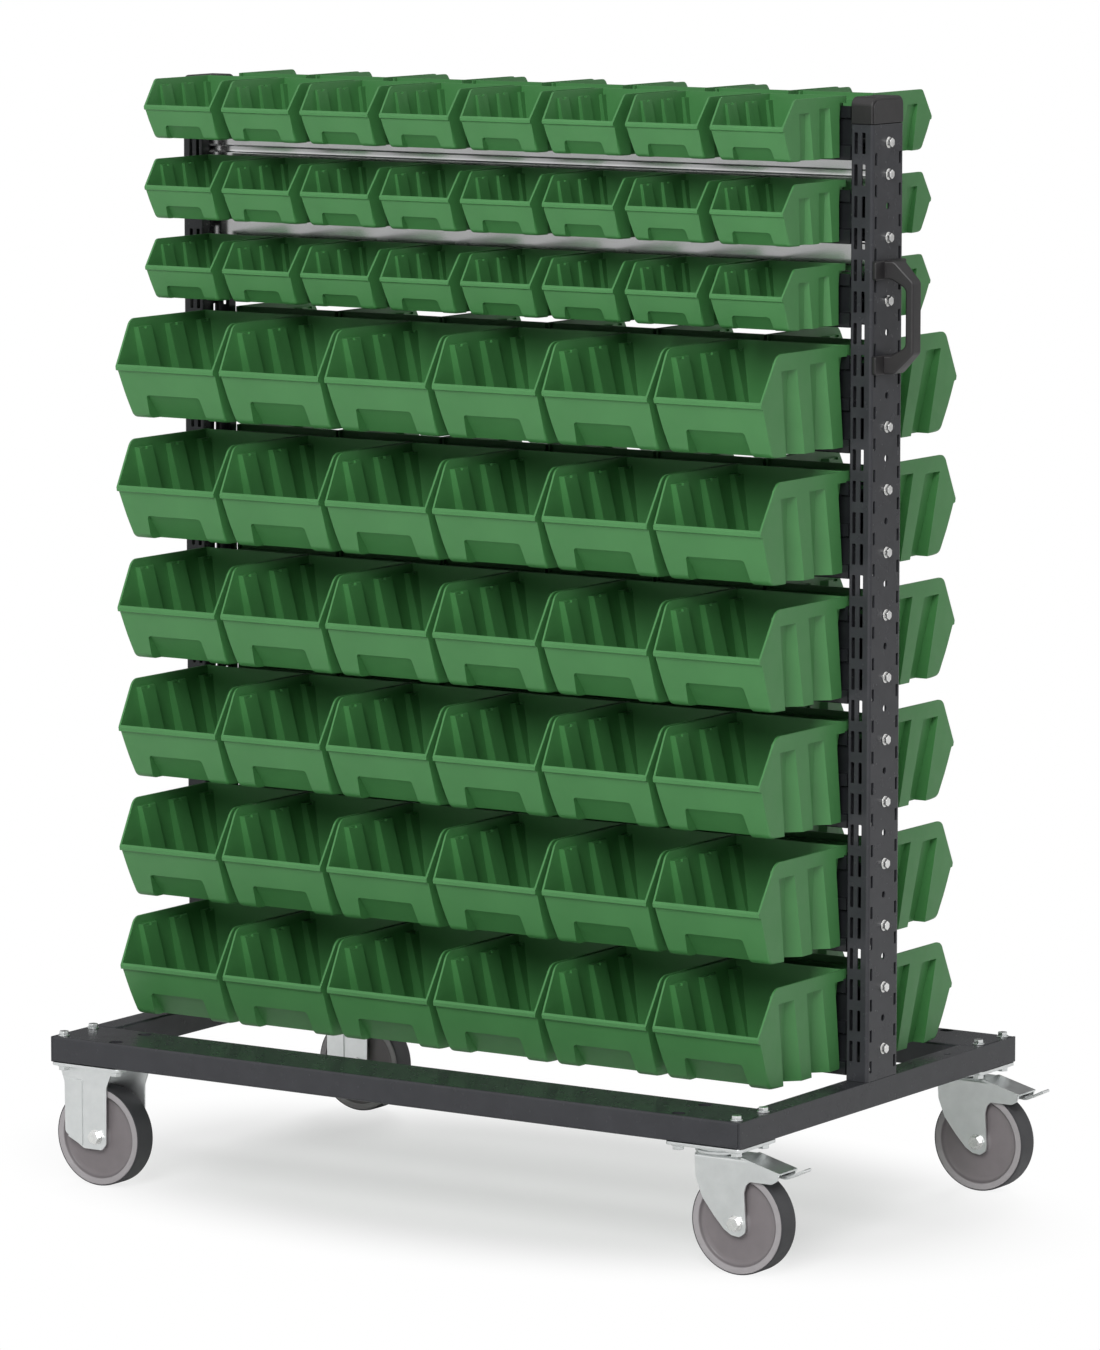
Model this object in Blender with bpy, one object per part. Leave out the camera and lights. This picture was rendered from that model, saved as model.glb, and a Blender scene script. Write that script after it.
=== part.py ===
"""Mobile bin cart.

A flat channel base on two fixed and two braked swivel casters carries two
slotted uprights.  Nine double-sided rails span the uprights and open-fronted
bins hang from both faces of every rail, three rows of small bins above six
rows of large ones.

Lengths are in millimetres and each mesh is scaled to metres as it is built.
The floor is z = 0, +X points to the push handle and -Y is the front.
"""

import math

import bmesh
import bpy
from mathutils import Matrix, Vector

MM = 0.001

# Clearance left between pieces that touch, and around a shank in its hole.
GAP = 0.3

# Base frame
BASE_LENGTH = 1004.0
BASE_WIDTH = 654.0
CHANNEL_HEIGHT = 32.0
CHANNEL_WIDTH = 89.0
SIDE_WIDTH = 33.0
BASE_SHEET = 3.0
CHANNEL_LIP = 21.0

# Casters
CASTER_INSET_X = 52.0
CASTER_INSET_Y = 42.0
WHEEL_RADIUS = 62.5
WHEEL_WIDTH = 32.0
WHEEL_FACETS = 16
WHEEL_TRAIL = 32.0
TREAD_DEPTH = 6.5
TREAD_LAP = 1.5
RIM_FLANGE = 4.0
RIM_RING_WIDTH = 9.5
HUB_BOSS_RADIUS = 14.0
HUB_DISH = 5.0
PLATE_LENGTH = 105.0
PLATE_WIDTH = 84.0
PLATE_SHEET = 4.0
PLATE_BOLTS_X = 80.0
PLATE_BOLTS_Y = 60.0
LEG_SHEET = 2.5
LEG_SIDE_GAP = 2.0
AXLE_RADIUS = 5.0
RACE_RADIUS = 30.0
RACE_HEIGHT = 9.4
CROWN_SHEET = 3.0
KINGPIN_RADIUS = 7.0
KINGPIN_NUT = 7.0
WHEEL_TOP_CLEARANCE = 7.0
PEDAL_WIDTH = 26.0
PEDAL_PIVOT_RADIUS = 3.0
PEDAL_PIVOT_DROP = 16.5
PEDAL_REACH = 59.0
BRAKE_ARM_REACH = 61.0

# Uprights
UPRIGHT_DEPTH = 30.0
UPRIGHT_WIDTH = 72.0
UPRIGHT_SHEET = 2.0
HOLE_PITCH = 37.5
HOLE_COUNT = 30
LOW_HOLE_RISE = 36.7
TOP_HOLE_DROP = 21.8
HOLE_RADIUS = 4.3
CAP_HEIGHT = 32.5
CAP_LAP = 0.6

# Fasteners
BOLT_RADIUS = 4.0
BOLT_HEAD_RADIUS = 7.5
BOLT_HEAD_HEIGHT = 6.5
NUT_HEIGHT = 6.5

# Push handle
HANDLE_LOW_HOLE = 7
HANDLE_HIGH_HOLE = 4
HANDLE_FOOT_HEIGHT = 22.0
HANDLE_FOOT_THICK = 5.0
HANDLE_REACH = 44.0
HANDLE_ARM = 17.0
HANDLE_GRIP_THICK = 10.0
HANDLE_GRIP_WIDTH = 20.0
HANDLE_ARM_WIDTH = 36.0

# Crossbars on the centre plane
CROSSBAR_HOLES = (1, 4)
CROSSBAR_THICK = 16.0
CROSSBAR_HOLE_GAP = 7.5
CROSSBAR_GROOVE = 8.0
CROSSBAR_GROOVE_DEPTH = 3.0

# Rails
RAIL_PROUD = 0.7
RAIL_SHEET = 2.0
RAIL_RECESS = 5.0
RAIL_RIB_STEP = 1.5
RAIL_DROP = 12.0
FLANGE_CLEARANCE = 2.7
BRACKET_WIDTH = 40.0
BRACKET_HALF_HEIGHT = 6.5
BRACKET_SHEET = 3.0

# Ribs as distances of their two edges below the rail's top edge
SMALL_RIBS = ((0.0, 14.0), (47.0, 64.0))
LARGE_RIBS = ((0.0, 17.0), (52.0, 66.0), (101.0, 117.0))

# Each small rail is bolted at one hole; its top edge stands above that hole
SMALL_RAILS = ((0, 43.4), (3, 56.9), (5, 32.9))

# Large rails repeat every few holes and take two bolts at each end
LARGE_RAIL_HOLE = 7
LARGE_RAIL_RISE = 11.6
LARGE_BOLT_STEP = 2
HOLES_PER_LARGE_ROW = 4

# Bins
BIN_WALL = 2.5
SIDE_DRAFT = 0.047
HOOK_SHEET = 3.4
HOOK_DROP = 8.0
SMALL_COUNT = 8
SMALL_END_MARGIN = 2.1
SMALL_SPACING = 13.8
SMALL_HEIGHT = 73.0
SMALL_LIP_DROP = 33.0
SMALL_LIP_REACH = 136.0
SMALL_RIM_REACH = 110.0
SMALL_FLOOR_REACH = 118.0
LARGE_ROWS = 6
LARGE_COUNT = 6
LARGE_END_MARGIN = 0.4
LARGE_SPACING = 3.9
LARGE_HEIGHT = 121.5
LARGE_LIP_DROP = 56.5
LARGE_LIP_REACH = 191.5
LARGE_RIM_REACH = 159.6
LARGE_FLOOR_REACH = 162.0

# Wedge-shaped flutes in the side walls of the large bins.  Each is the drop of
# its top below the rim and the reach of its front edge there and at the floor.
# It is deepest at that edge and runs out rearwards at the slant, which is depth
# over reach; the depths are those at its top and at the floor.
LARGE_FLUTES = ((20.0, 149.3, 129.0), (16.7, 85.0, 64.0))
FLUTE_DEPTHS = (9.0, 15.0)
FLUTE_SLANT = 0.32

# Levels that follow from the sizes above
CROWN_TOP = 2 * WHEEL_RADIUS + WHEEL_TOP_CLEARANCE + KINGPIN_NUT + CROWN_SHEET
PLATE_BOTTOM = CROWN_TOP + GAP + RACE_HEIGHT
PLATE_TOP = PLATE_BOTTOM + PLATE_SHEET
CASTER_HEIGHT = PLATE_TOP + GAP
BASE_TOP = CASTER_HEIGHT + CHANNEL_HEIGHT
HALF_LENGTH = BASE_LENGTH / 2
HALF_WIDTH = BASE_WIDTH / 2
CASTER_X = HALF_LENGTH - CASTER_INSET_X
CASTER_Y = HALF_WIDTH - CASTER_INSET_Y
UPRIGHT_TOP = BASE_TOP + LOW_HOLE_RISE + HOLE_PITCH * (HOLE_COUNT - 1) + TOP_HOLE_DROP
UPRIGHT_INNER = HALF_LENGTH - UPRIGHT_DEPTH
WEB_INNER = HALF_LENGTH - UPRIGHT_SHEET
RAIL_REACH = UPRIGHT_INNER - GAP
RAIL_FACE = UPRIGHT_WIDTH / 2 + RAIL_PROUD
BIN_BACK = RAIL_FACE + GAP
SMALL_PITCH = 2 * (RAIL_REACH - SMALL_END_MARGIN) / SMALL_COUNT
LARGE_PITCH = 2 * (RAIL_REACH - LARGE_END_MARGIN) / LARGE_COUNT
SMALL_WIDTH = SMALL_PITCH - SMALL_SPACING
LARGE_WIDTH = LARGE_PITCH - LARGE_SPACING
HUB_RING_RADIUS = WHEEL_RADIUS - RIM_RING_WIDTH
LEG_INNER = WHEEL_WIDTH / 2 + LEG_SIDE_GAP
LEG_OUTER = LEG_INNER + LEG_SHEET


def hole_level(index):
    """Height of one hole of the upright, counted down from the top."""
    return UPRIGHT_TOP - TOP_HOLE_DROP - HOLE_PITCH * index


def used_holes():
    """Holes that take a rail, crossbar or handle bolt."""
    used = set(CROSSBAR_HOLES) | {HANDLE_HIGH_HOLE, HANDLE_LOW_HOLE}
    used |= {hole for hole, rise in SMALL_RAILS}
    for step in range(LARGE_ROWS):
        used |= set(large_rail_holes(step))
    return sorted(used)


def large_rail_holes(step):
    first = LARGE_RAIL_HOLE + HOLES_PER_LARGE_ROW * step
    return (first, first + LARGE_BOLT_STEP)


def clear_scene():
    for item in list(bpy.data.objects):
        bpy.data.objects.remove(item, do_unlink=True)


def make_material(name, colour, roughness, metallic):
    made = bpy.data.materials.new(name)
    made.use_nodes = True
    shader = made.node_tree.nodes["Principled BSDF"]
    shader.inputs["Base Color"].default_value = (*colour, 1.0)
    shader.inputs["Roughness"].default_value = roughness
    shader.inputs["Metallic"].default_value = metallic
    made.diffuse_color = (*colour, 1.0)
    return made


def place(point, axis):
    """Put a point given as (u, v, along) on the axis it is extruded along."""
    u, v, along = point
    if axis == "X":
        return Vector((along, u, v))
    if axis == "Y":
        return Vector((u, along, v))
    return Vector((u, v, along))


def prism(outline, axis, low, high):
    """Extrude a closed outline between two positions on an axis.

    The outline is (y, z) for the X axis, (x, z) for Y and (x, y) for Z.
    """
    shape = bmesh.new()
    near = [shape.verts.new(place((u, v, low), axis)) for u, v in outline]
    far = [shape.verts.new(place((u, v, high), axis)) for u, v in outline]
    shape.faces.new(near)
    shape.faces.new(list(reversed(far)))
    count = len(outline)
    for index in range(count):
        after = (index + 1) % count
        shape.faces.new((near[index], far[index], far[after], near[after]))
    return finished(shape)


def box(x_range, y_range, z_range):
    outline = [
        (x_range[0], y_range[0]),
        (x_range[1], y_range[0]),
        (x_range[1], y_range[1]),
        (x_range[0], y_range[1]),
    ]
    return prism(outline, "Z", z_range[0], z_range[1])


def ring_points(radius, count, phase=0.0):
    step = 2 * math.pi / count
    return [
        (radius * math.cos(phase + step * k), radius * math.sin(phase + step * k))
        for k in range(count)
    ]


def rod(axis, centre, radius, low, high, count=16, phase=0.0):
    """A round or hexagonal bar; centre is given in the outline's own pair."""
    outline = [
        (centre[0] + u, centre[1] + v) for u, v in ring_points(radius, count, phase)
    ]
    return prism(outline, axis, low, high)


def turned(profile, centre, count):
    """Turn a closed (radius, y) profile about a Y axis through centre."""
    shape = bmesh.new()
    rings = []
    for u, v in ring_points(1.0, count):
        rings.append(
            [
                shape.verts.new(
                    (centre[0] + u * radius, centre[1] + y, centre[2] + v * radius)
                )
                for radius, y in profile
            ]
        )
    size = len(profile)
    for index, ring in enumerate(rings):
        other = rings[(index + 1) % count]
        for k in range(size):
            after = (k + 1) % size
            shape.faces.new((ring[k], ring[after], other[after], other[k]))
    return finished(shape)


def finished(shape):
    bmesh.ops.recalc_face_normals(shape, faces=shape.faces)
    mesh = bpy.data.meshes.new("shape")
    shape.to_mesh(mesh)
    shape.free()
    return mesh


def merged(meshes):
    """Put separate meshes that don't touch into one mesh."""
    shape = bmesh.new()
    for mesh in meshes:
        shape.from_mesh(mesh)
    return finished(shape)


def combined(mesh, others, operation):
    """Boolean of a mesh with separate, non-touching others."""
    target = bpy.data.objects.new("target", mesh)
    tool = bpy.data.objects.new("tool", merged(others))
    bpy.context.scene.collection.objects.link(target)
    bpy.context.scene.collection.objects.link(tool)
    modifier = target.modifiers.new("join", "BOOLEAN")
    modifier.solver = "EXACT"
    modifier.operation = operation
    modifier.object = tool
    graph = bpy.context.evaluated_depsgraph_get()
    result = bpy.data.meshes.new_from_object(target.evaluated_get(graph))
    bpy.data.objects.remove(target, do_unlink=True)
    bpy.data.objects.remove(tool, do_unlink=True)
    return result


def joined(mesh, *others):
    for other in others:
        mesh = combined(mesh, [other], "UNION")
    return mesh


def cut(mesh, *others):
    return combined(mesh, list(others), "DIFFERENCE")


def mirrored(mesh, axis):
    """Copy of a mesh mirrored in the X or Y plane through the centre."""
    copy = mesh.copy()
    factors = (-1, 1, 1) if axis == "X" else (1, -1, 1)
    copy.transform(Matrix.Diagonal((*factors, 1)))
    copy.flip_normals()
    return copy


def add_piece(name, mesh, look, origin=(0.0, 0.0, 0.0), smooth=False, parent=None):
    """Make the named object with its origin on its joint axis."""
    mesh = mesh.copy()
    mesh.name = name
    start = Vector(origin)
    mesh.transform(Matrix.Scale(MM, 4) @ Matrix.Translation(-start))
    mesh.materials.clear()
    mesh.materials.append(look)
    if smooth:
        mesh.shade_smooth()
        mesh.set_sharp_from_angle(angle=math.radians(35))
    piece = bpy.data.objects.new(name, mesh)
    bpy.context.scene.collection.objects.link(piece)
    piece.location = start * MM
    if parent is not None:
        piece.parent = parent
        piece.location = start * MM - parent.location
    return piece


def hex_bolt(direction, centre, face, shank_end):
    """Hexagon head and shank along X; direction is +1 or -1."""
    seat = face + direction * GAP
    top = seat + direction * BOLT_HEAD_HEIGHT
    shank_top = seat + direction
    head = rod("X", centre, BOLT_HEAD_RADIUS, *sorted((seat, top)), count=6)
    shank = rod("X", centre, BOLT_RADIUS, *sorted((shank_end, shank_top)), count=6)
    return joined(head, shank)


# Base frame


def end_channel(sign):
    """Front (-1) or rear (+1) channel, open below, with returned lips."""
    outer = HALF_WIDTH
    inner = HALF_WIDTH - CHANNEL_WIDTH
    top = BASE_TOP
    low = CASTER_HEIGHT
    sheet = BASE_SHEET
    outline = [
        (outer, top),
        (outer, low),
        (outer - CHANNEL_LIP, low),
        (outer - CHANNEL_LIP, low + sheet),
        (outer - sheet, low + sheet),
        (outer - sheet, top - sheet),
        (inner + sheet, top - sheet),
        (inner + sheet, low + sheet),
        (inner + CHANNEL_LIP, low + sheet),
        (inner + CHANNEL_LIP, low),
        (inner, low),
        (inner, top),
    ]
    reach = HALF_LENGTH - BASE_SHEET - GAP
    mesh = prism(outline, "X", -reach, reach)
    through = []
    for side in (-1, 1):
        for along in (-1, 1):
            x = side * CASTER_X + along * PLATE_BOLTS_X / 2
            radius = HOLE_RADIUS if along == side else BOLT_HEAD_RADIUS + 1
            for across in (-1, 1):
                y = CASTER_Y + across * PLATE_BOLTS_Y / 2
                through.append(
                    rod("Z", (x, y), radius, top - sheet - 2, top + 2, count=8)
                )
                through.append(
                    rod("Z", (x, y), HOLE_RADIUS, low - 2, low + sheet + 2, count=6)
                )
    mesh = cut(mesh, *through)
    return mirrored(mesh, "Y") if sign < 0 else mesh


def side_channel(sign):
    """Left (-1) or right (+1) channel, whose outer flange closes the corners."""
    outer = HALF_LENGTH
    inner = HALF_LENGTH - SIDE_WIDTH
    sheet = BASE_SHEET
    top = BASE_TOP
    low = CASTER_HEIGHT
    reach = HALF_WIDTH - CHANNEL_WIDTH - GAP
    outline = [
        (outer - sheet / 2, low),
        (outer - sheet / 2, top),
        (inner, top),
        (inner, low),
        (inner + sheet, low),
        (inner + sheet, top - sheet),
        (outer - sheet, top - sheet),
        (outer - sheet, low),
    ]
    channel = prism(outline, "Y", -reach, reach)
    flange = box((outer - sheet, outer), (-HALF_WIDTH, HALF_WIDTH), (low, top))
    mesh = joined(channel, flange)
    return mirrored(mesh, "X") if sign < 0 else mesh


# Uprights


def upright(sign):
    """C profile with the web outward, standing on the side channel."""
    outer = HALF_LENGTH
    inner = UPRIGHT_INNER
    sheet = UPRIGHT_SHEET
    half = UPRIGHT_WIDTH / 2
    outline = [
        (outer, -half),
        (outer, half),
        (inner, half),
        (inner, half - sheet),
        (outer - sheet, half - sheet),
        (outer - sheet, sheet - half),
        (inner, sheet - half),
        (inner, -half),
    ]
    low = BASE_TOP + GAP
    mesh = prism(outline, "Z", low, UPRIGHT_TOP)
    foot = box(
        (inner + 1, outer - sheet / 2),
        (sheet / 2 - half, half - sheet / 2),
        (low, low + BASE_SHEET),
    )
    mesh = joined(mesh, foot)
    holes = [
        rod("X", (0, hole_level(k)), HOLE_RADIUS, outer - 2 * sheet, outer + sheet, count=6)
        for k in used_holes()
    ]
    mesh = cut(mesh, *holes)
    return mirrored(mesh, "X") if sign < 0 else mesh


def cap(sign):
    """Cap over the upright, with a plug that sits inside the C profile."""
    outer = HALF_LENGTH + CAP_LAP
    inner = UPRIGHT_INNER
    half = UPRIGHT_WIDTH / 2 + CAP_LAP
    low = UPRIGHT_TOP + GAP
    top = UPRIGHT_TOP + CAP_HEIGHT
    corner = 6.0
    outline = [
        (-half, low),
        (half, low),
        (half, top - corner),
        (half - corner * 0.3, top - corner * 0.3),
        (half - corner, top),
        (corner - half, top),
        (corner * 0.3 - half, top - corner * 0.3),
        (-half, top - corner),
    ]
    body = prism(outline, "X", inner, outer)
    plug_gap = UPRIGHT_SHEET + GAP
    plug_low = hole_level(0) + BRACKET_HALF_HEIGHT + 2
    plug = box(
        (UPRIGHT_INNER + 1, HALF_LENGTH - plug_gap),
        (plug_gap - UPRIGHT_WIDTH / 2, UPRIGHT_WIDTH / 2 - plug_gap),
        (plug_low, low + 1),
    )
    mesh = joined(body, plug)
    return mirrored(mesh, "X") if sign < 0 else mesh


def push_handle():
    """D handle on the right upright, on two wide feet."""
    face = HALF_LENGTH + GAP
    high = hole_level(HANDLE_HIGH_HOLE) + HANDLE_FOOT_HEIGHT / 2
    low = hole_level(HANDLE_LOW_HOLE) - HANDLE_FOOT_HEIGHT / 2
    outer = HALF_LENGTH + HANDLE_REACH
    arm = face + HANDLE_ARM
    slant = outer - arm
    thick = HANDLE_GRIP_THICK
    foot = HANDLE_FOOT_HEIGHT
    root = face + 1
    outline = [
        (root, high),
        (arm, high),
        (outer, high - slant),
        (outer, low + slant),
        (arm, low),
        (root, low),
        (root, low + foot),
        (arm - 4, low + foot),
        (outer - thick, low + slant + 8),
        (outer - thick, high - slant - 8),
        (arm - 4, high - foot),
        (root, high - foot),
    ]
    half_grip = HANDLE_GRIP_WIDTH / 2
    mesh = prism(outline, "Y", -half_grip, half_grip)
    half_arm = HANDLE_ARM_WIDTH / 2
    half_foot = UPRIGHT_WIDTH / 2
    for base in (low, high - foot):
        wedge = prism(
            [
                (face + 1, -half_arm),
                (arm - 2, -half_grip - 2),
                (arm - 2, half_grip + 2),
                (face + 1, half_arm),
            ],
            "Z",
            base + 0.5,
            base + foot - 0.5,
        )
        plate = box(
            (face, face + HANDLE_FOOT_THICK), (-half_foot, half_foot), (base, base + foot)
        )
        mesh = joined(mesh, wedge, plate)
    return mesh


def crossbar(index):
    """Flat bar on the centre plane, grooved along both faces."""
    level = hole_level(index)
    half = CROSSBAR_THICK / 2
    tall = HOLE_PITCH - CROSSBAR_HOLE_GAP
    groove = CROSSBAR_GROOVE / 2
    deep = half - CROSSBAR_GROOVE_DEPTH
    outline = [
        (-half, level - tall),
        (half, level - tall),
        (half, level - groove),
        (deep, level - groove),
        (deep, level + groove),
        (half, level + groove),
        (half, level + tall),
        (-half, level + tall),
        (-half, level + groove),
        (-deep, level + groove),
        (-deep, level - groove),
        (-half, level - groove),
    ]
    reach = WEB_INNER - 2 * GAP - BRACKET_SHEET
    mesh = prism(outline, "X", -reach, reach)
    left = hex_bolt(-1, (0, level), -HALF_LENGTH, 1 - reach)
    if index == HANDLE_HIGH_HOLE:
        right = rod("X", (0, level), BOLT_RADIUS, reach - 1, HALF_LENGTH, count=6)
    else:
        right = hex_bolt(1, (0, level), HALF_LENGTH, reach - 1)
    return joined(mesh, left, right)


# Rails


def rail(top, holes, ribs):
    """Double-sided rail: two ribbed sheets joined by a web, bolted at its ends.

    The ribs are (top, bottom) distances below the rail's top edge where the
    sheet stands out; between them it steps back.
    """
    low = top - ribs[-1][1]
    face = RAIL_FACE
    sheet = RAIL_SHEET
    step = RAIL_RIB_STEP
    set_back = face - RAIL_RECESS
    outer = []
    for k, (upper, lower) in enumerate(ribs):
        outer.append((face, top - upper))
        outer.append((face, top - lower))
        if k + 1 < len(ribs):
            outer.append((set_back, top - lower - step))
            outer.append((set_back, top - ribs[k + 1][0] + step))
    first = ribs[0][1]
    inner = [
        (CROSSBAR_THICK / 2 + FLANGE_CLEARANCE, low),
        (CROSSBAR_THICK / 2 + FLANGE_CLEARANCE, low + sheet),
        (set_back - sheet, low + sheet),
        (set_back - sheet, top - first + step),
        (face - sheet, top - first + 2 * step),
        (face - sheet, top),
    ]
    web_low = hole_level(holes[0]) - sheet / 2
    web_high = web_low + sheet
    half = outer + inner
    split = next(
        k
        for k in range(len(outer) + 2, len(half) - 1)
        if half[k][1] < web_low and web_high < half[k + 1][1]
    )
    side = half[split][0]
    below = half[: split + 1] + [(side, web_low)]
    above = [(side, web_high)] + half[split + 1 :]
    outline = above + below
    outline += [(-y, z) for y, z in reversed(below)]
    outline += [(-y, z) for y, z in reversed(above)]
    reach = RAIL_REACH
    mesh = prism(outline, "X", -reach, reach)
    lowest = hole_level(holes[-1])
    half_bracket = BRACKET_WIDTH / 2
    for end in (-1, 1):
        tab_end = end * (WEB_INNER - GAP)
        tab = box(
            sorted((end * (reach - 6), tab_end)),
            (-half_bracket + 1, half_bracket - 1),
            (web_low - 0.5, web_high + 0.5),
        )
        strap = box(
            sorted((tab_end - end * BRACKET_SHEET, tab_end)),
            (-half_bracket, half_bracket),
            (lowest - BRACKET_HALF_HEIGHT, hole_level(holes[0]) + BRACKET_HALF_HEIGHT),
        )
        mesh = joined(mesh, tab, strap)
        for hole in holes:
            centre = (0, hole_level(hole))
            inside = tab_end - end
            if end > 0 and hole == HANDLE_LOW_HOLE:
                bolt = rod("X", centre, BOLT_RADIUS, inside, HALF_LENGTH, count=6)
            else:
                bolt = hex_bolt(end, centre, end * HALF_LENGTH, inside)
            mesh = joined(mesh, bolt)
    return mesh


# Bins


def bin_shell(width, height, lip_drop, reaches, flutes):
    """Thin open-fronted bin on the rear (+Y) face, its rim centred at x = z = 0.

    The width is at the rim; the side walls draw in towards the floor.
    """
    lip_reach, rim_reach, floor_reach = reaches
    back = BIN_BACK
    wall = BIN_WALL
    outside = [
        (back, -height),
        (back, 0.0),
        (back + rim_reach, 0.0),
        (back + lip_reach, -lip_drop),
        (back + floor_reach, -height),
    ]
    lean = (lip_reach - floor_reach) / (height - lip_drop)
    across = wall * math.hypot(1, lean)
    edge = (lip_reach - rim_reach) / lip_drop
    slide = across / (lean + edge)
    inside = [
        (back + wall, wall - height),
        (back + wall, 0.0),
        (back + rim_reach, 0.0),
        (back + lip_reach - slide * edge, slide - lip_drop),
        (back + floor_reach - across + wall * lean, wall - height),
    ]
    shape = bmesh.new()

    def row(sign, half, points):
        return [
            shape.verts.new((sign * (half + SIDE_DRAFT * z), y, z)) for y, z in points
        ]

    half = width / 2
    left = row(-1, half, outside)
    right = row(1, half, outside)
    left_in = row(-1, half - wall, inside)
    right_in = row(1, half - wall, inside)
    for outer in (left, right):
        shape.faces.new(outer)
    for inner in (left_in, right_in):
        shape.faces.new(inner)
    for first, second in ((left, right), (left_in, right_in)):
        shape.faces.new((first[0], second[0], second[1], first[1]))
        shape.faces.new((first[0], second[0], second[4], first[4]))
        shape.faces.new((first[3], second[3], second[4], first[4]))
    shape.faces.new((left[1], right[1], right_in[1], left_in[1]))
    shape.faces.new((left[3], right[3], right_in[3], left_in[3]))
    for outer, inner in ((left, left_in), (right, right_in)):
        for k in (1, 2):
            shape.faces.new((outer[k], outer[k + 1], inner[k + 1], inner[k]))
    mesh = finished(shape)
    if not flutes:
        return mesh
    sides = (-1, 1)
    ribs = [flute(side, half, height, spec, wall) for spec in flutes for side in sides]
    hollows = [flute(side, half, height, spec, 0.0) for spec in flutes for side in sides]
    return cut(combined(mesh, ribs, "UNION"), *hollows)


def flute(side, half, height, spec, wall):
    """Wedge along a side wall: the hollow itself, or the rib that backs it.

    With no wall it is the hollow and stands out past the wall and the floor;
    otherwise it is grown by the wall and starts halfway inside both.
    """
    drop, top_reach, floor_reach = spec
    span = height - drop
    slope = math.hypot(1, FLUTE_SLANT)
    root = wall / 2 if wall else -1.0
    shape = bmesh.new()
    rings = []
    for z in (root - height, wall - drop):
        share = (-drop - z) / span
        depth = FLUTE_DEPTHS[0] + (FLUTE_DEPTHS[1] - FLUTE_DEPTHS[0]) * share
        front = BIN_BACK + top_reach + (floor_reach - top_reach) * share
        rear = front - depth / FLUTE_SLANT
        deep = depth + FLUTE_SLANT * wall + slope * wall
        wall_x = half + SIDE_DRAFT * z
        corners = (
            (root, front + wall),
            (deep, front + wall),
            (root, rear + (root - slope * wall) / FLUTE_SLANT),
        )
        rings.append([shape.verts.new((side * (wall_x - d), y, z)) for d, y in corners])
    low, high = rings
    shape.faces.new(low)
    shape.faces.new(list(reversed(high)))
    for k in range(3):
        after = (k + 1) % 3
        shape.faces.new((low[k], high[k], high[after], low[after]))
    return finished(shape)


def bin_row(side, rail_top, shell, count, pitch, width):
    """A row of bins sharing the hook that hangs over the rail's top edge."""
    rim = rail_top + RAIL_DROP
    bins = []
    for index in range(count):
        copy = shell.copy()
        copy.transform(
            Matrix.Translation(((index - (count - 1) / 2) * pitch, 0.0, rim))
        )
        bins.append(copy)
    back = BIN_BACK
    rail_back = RAIL_FACE - RAIL_SHEET
    seat = rail_top + GAP
    hook_top = seat + HOOK_SHEET
    hook = [
        (back + BIN_WALL / 2, seat),
        (back + BIN_WALL / 2, hook_top),
        (rail_back - GAP - HOOK_SHEET, hook_top),
        (rail_back - GAP - HOOK_SHEET, rail_top - HOOK_DROP),
        (rail_back - GAP, rail_top - HOOK_DROP),
        (rail_back - GAP, seat),
    ]
    reach = (count - 1) / 2 * pitch + width / 2 - BIN_WALL
    strip = prism(hook, "X", -reach, reach)
    mesh = combined(strip, bins, "UNION")
    return mirrored(mesh, "Y") if side < 0 else mesh


# Casters


def plate_with_bolts(centre, outward, extra):
    """Caster plate with its four bolts; outward is the sign of the cart end."""
    cx, cy = centre
    top = PLATE_TOP
    low = PLATE_BOTTOM
    mesh = box(
        (cx - PLATE_LENGTH / 2, cx + PLATE_LENGTH / 2),
        (cy - PLATE_WIDTH / 2, cy + PLATE_WIDTH / 2),
        (low, top),
    )
    for along in (-1, 1):
        for across in (-1, 1):
            spot = (cx + along * PLATE_BOLTS_X / 2, cy + across * PLATE_BOLTS_Y / 2)
            if along == outward:
                seat = BASE_TOP + GAP
            else:
                seat = CASTER_HEIGHT + BASE_SHEET + GAP
            shank = rod("Z", spot, BOLT_RADIUS, low - 1, seat + 1, count=6)
            head = rod(
                "Z", spot, BOLT_HEAD_RADIUS, seat, seat + BOLT_HEAD_HEIGHT, count=6
            )
            nut = rod("Z", spot, BOLT_HEAD_RADIUS, low - NUT_HEIGHT, low + 1, count=6)
            mesh = joined(mesh, shank, head, nut)
    return joined(mesh, *extra)


def swivel_plate(centre):
    """Swivel caster's plate with the upper race and the kingpin."""
    cx, cy = centre
    low = PLATE_BOTTOM
    crown_low = CROWN_TOP - CROWN_SHEET
    race = rod("Z", centre, RACE_RADIUS, CROWN_TOP + GAP, low + 1, count=24)
    pin = rod("Z", centre, KINGPIN_RADIUS, crown_low - KINGPIN_NUT / 2, low, count=12)
    nut_low = crown_low - KINGPIN_NUT
    nut = rod("Z", centre, KINGPIN_RADIUS + 5, nut_low, crown_low - GAP, count=6)
    return plate_with_bolts(centre, 1, [race, pin, nut])


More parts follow.
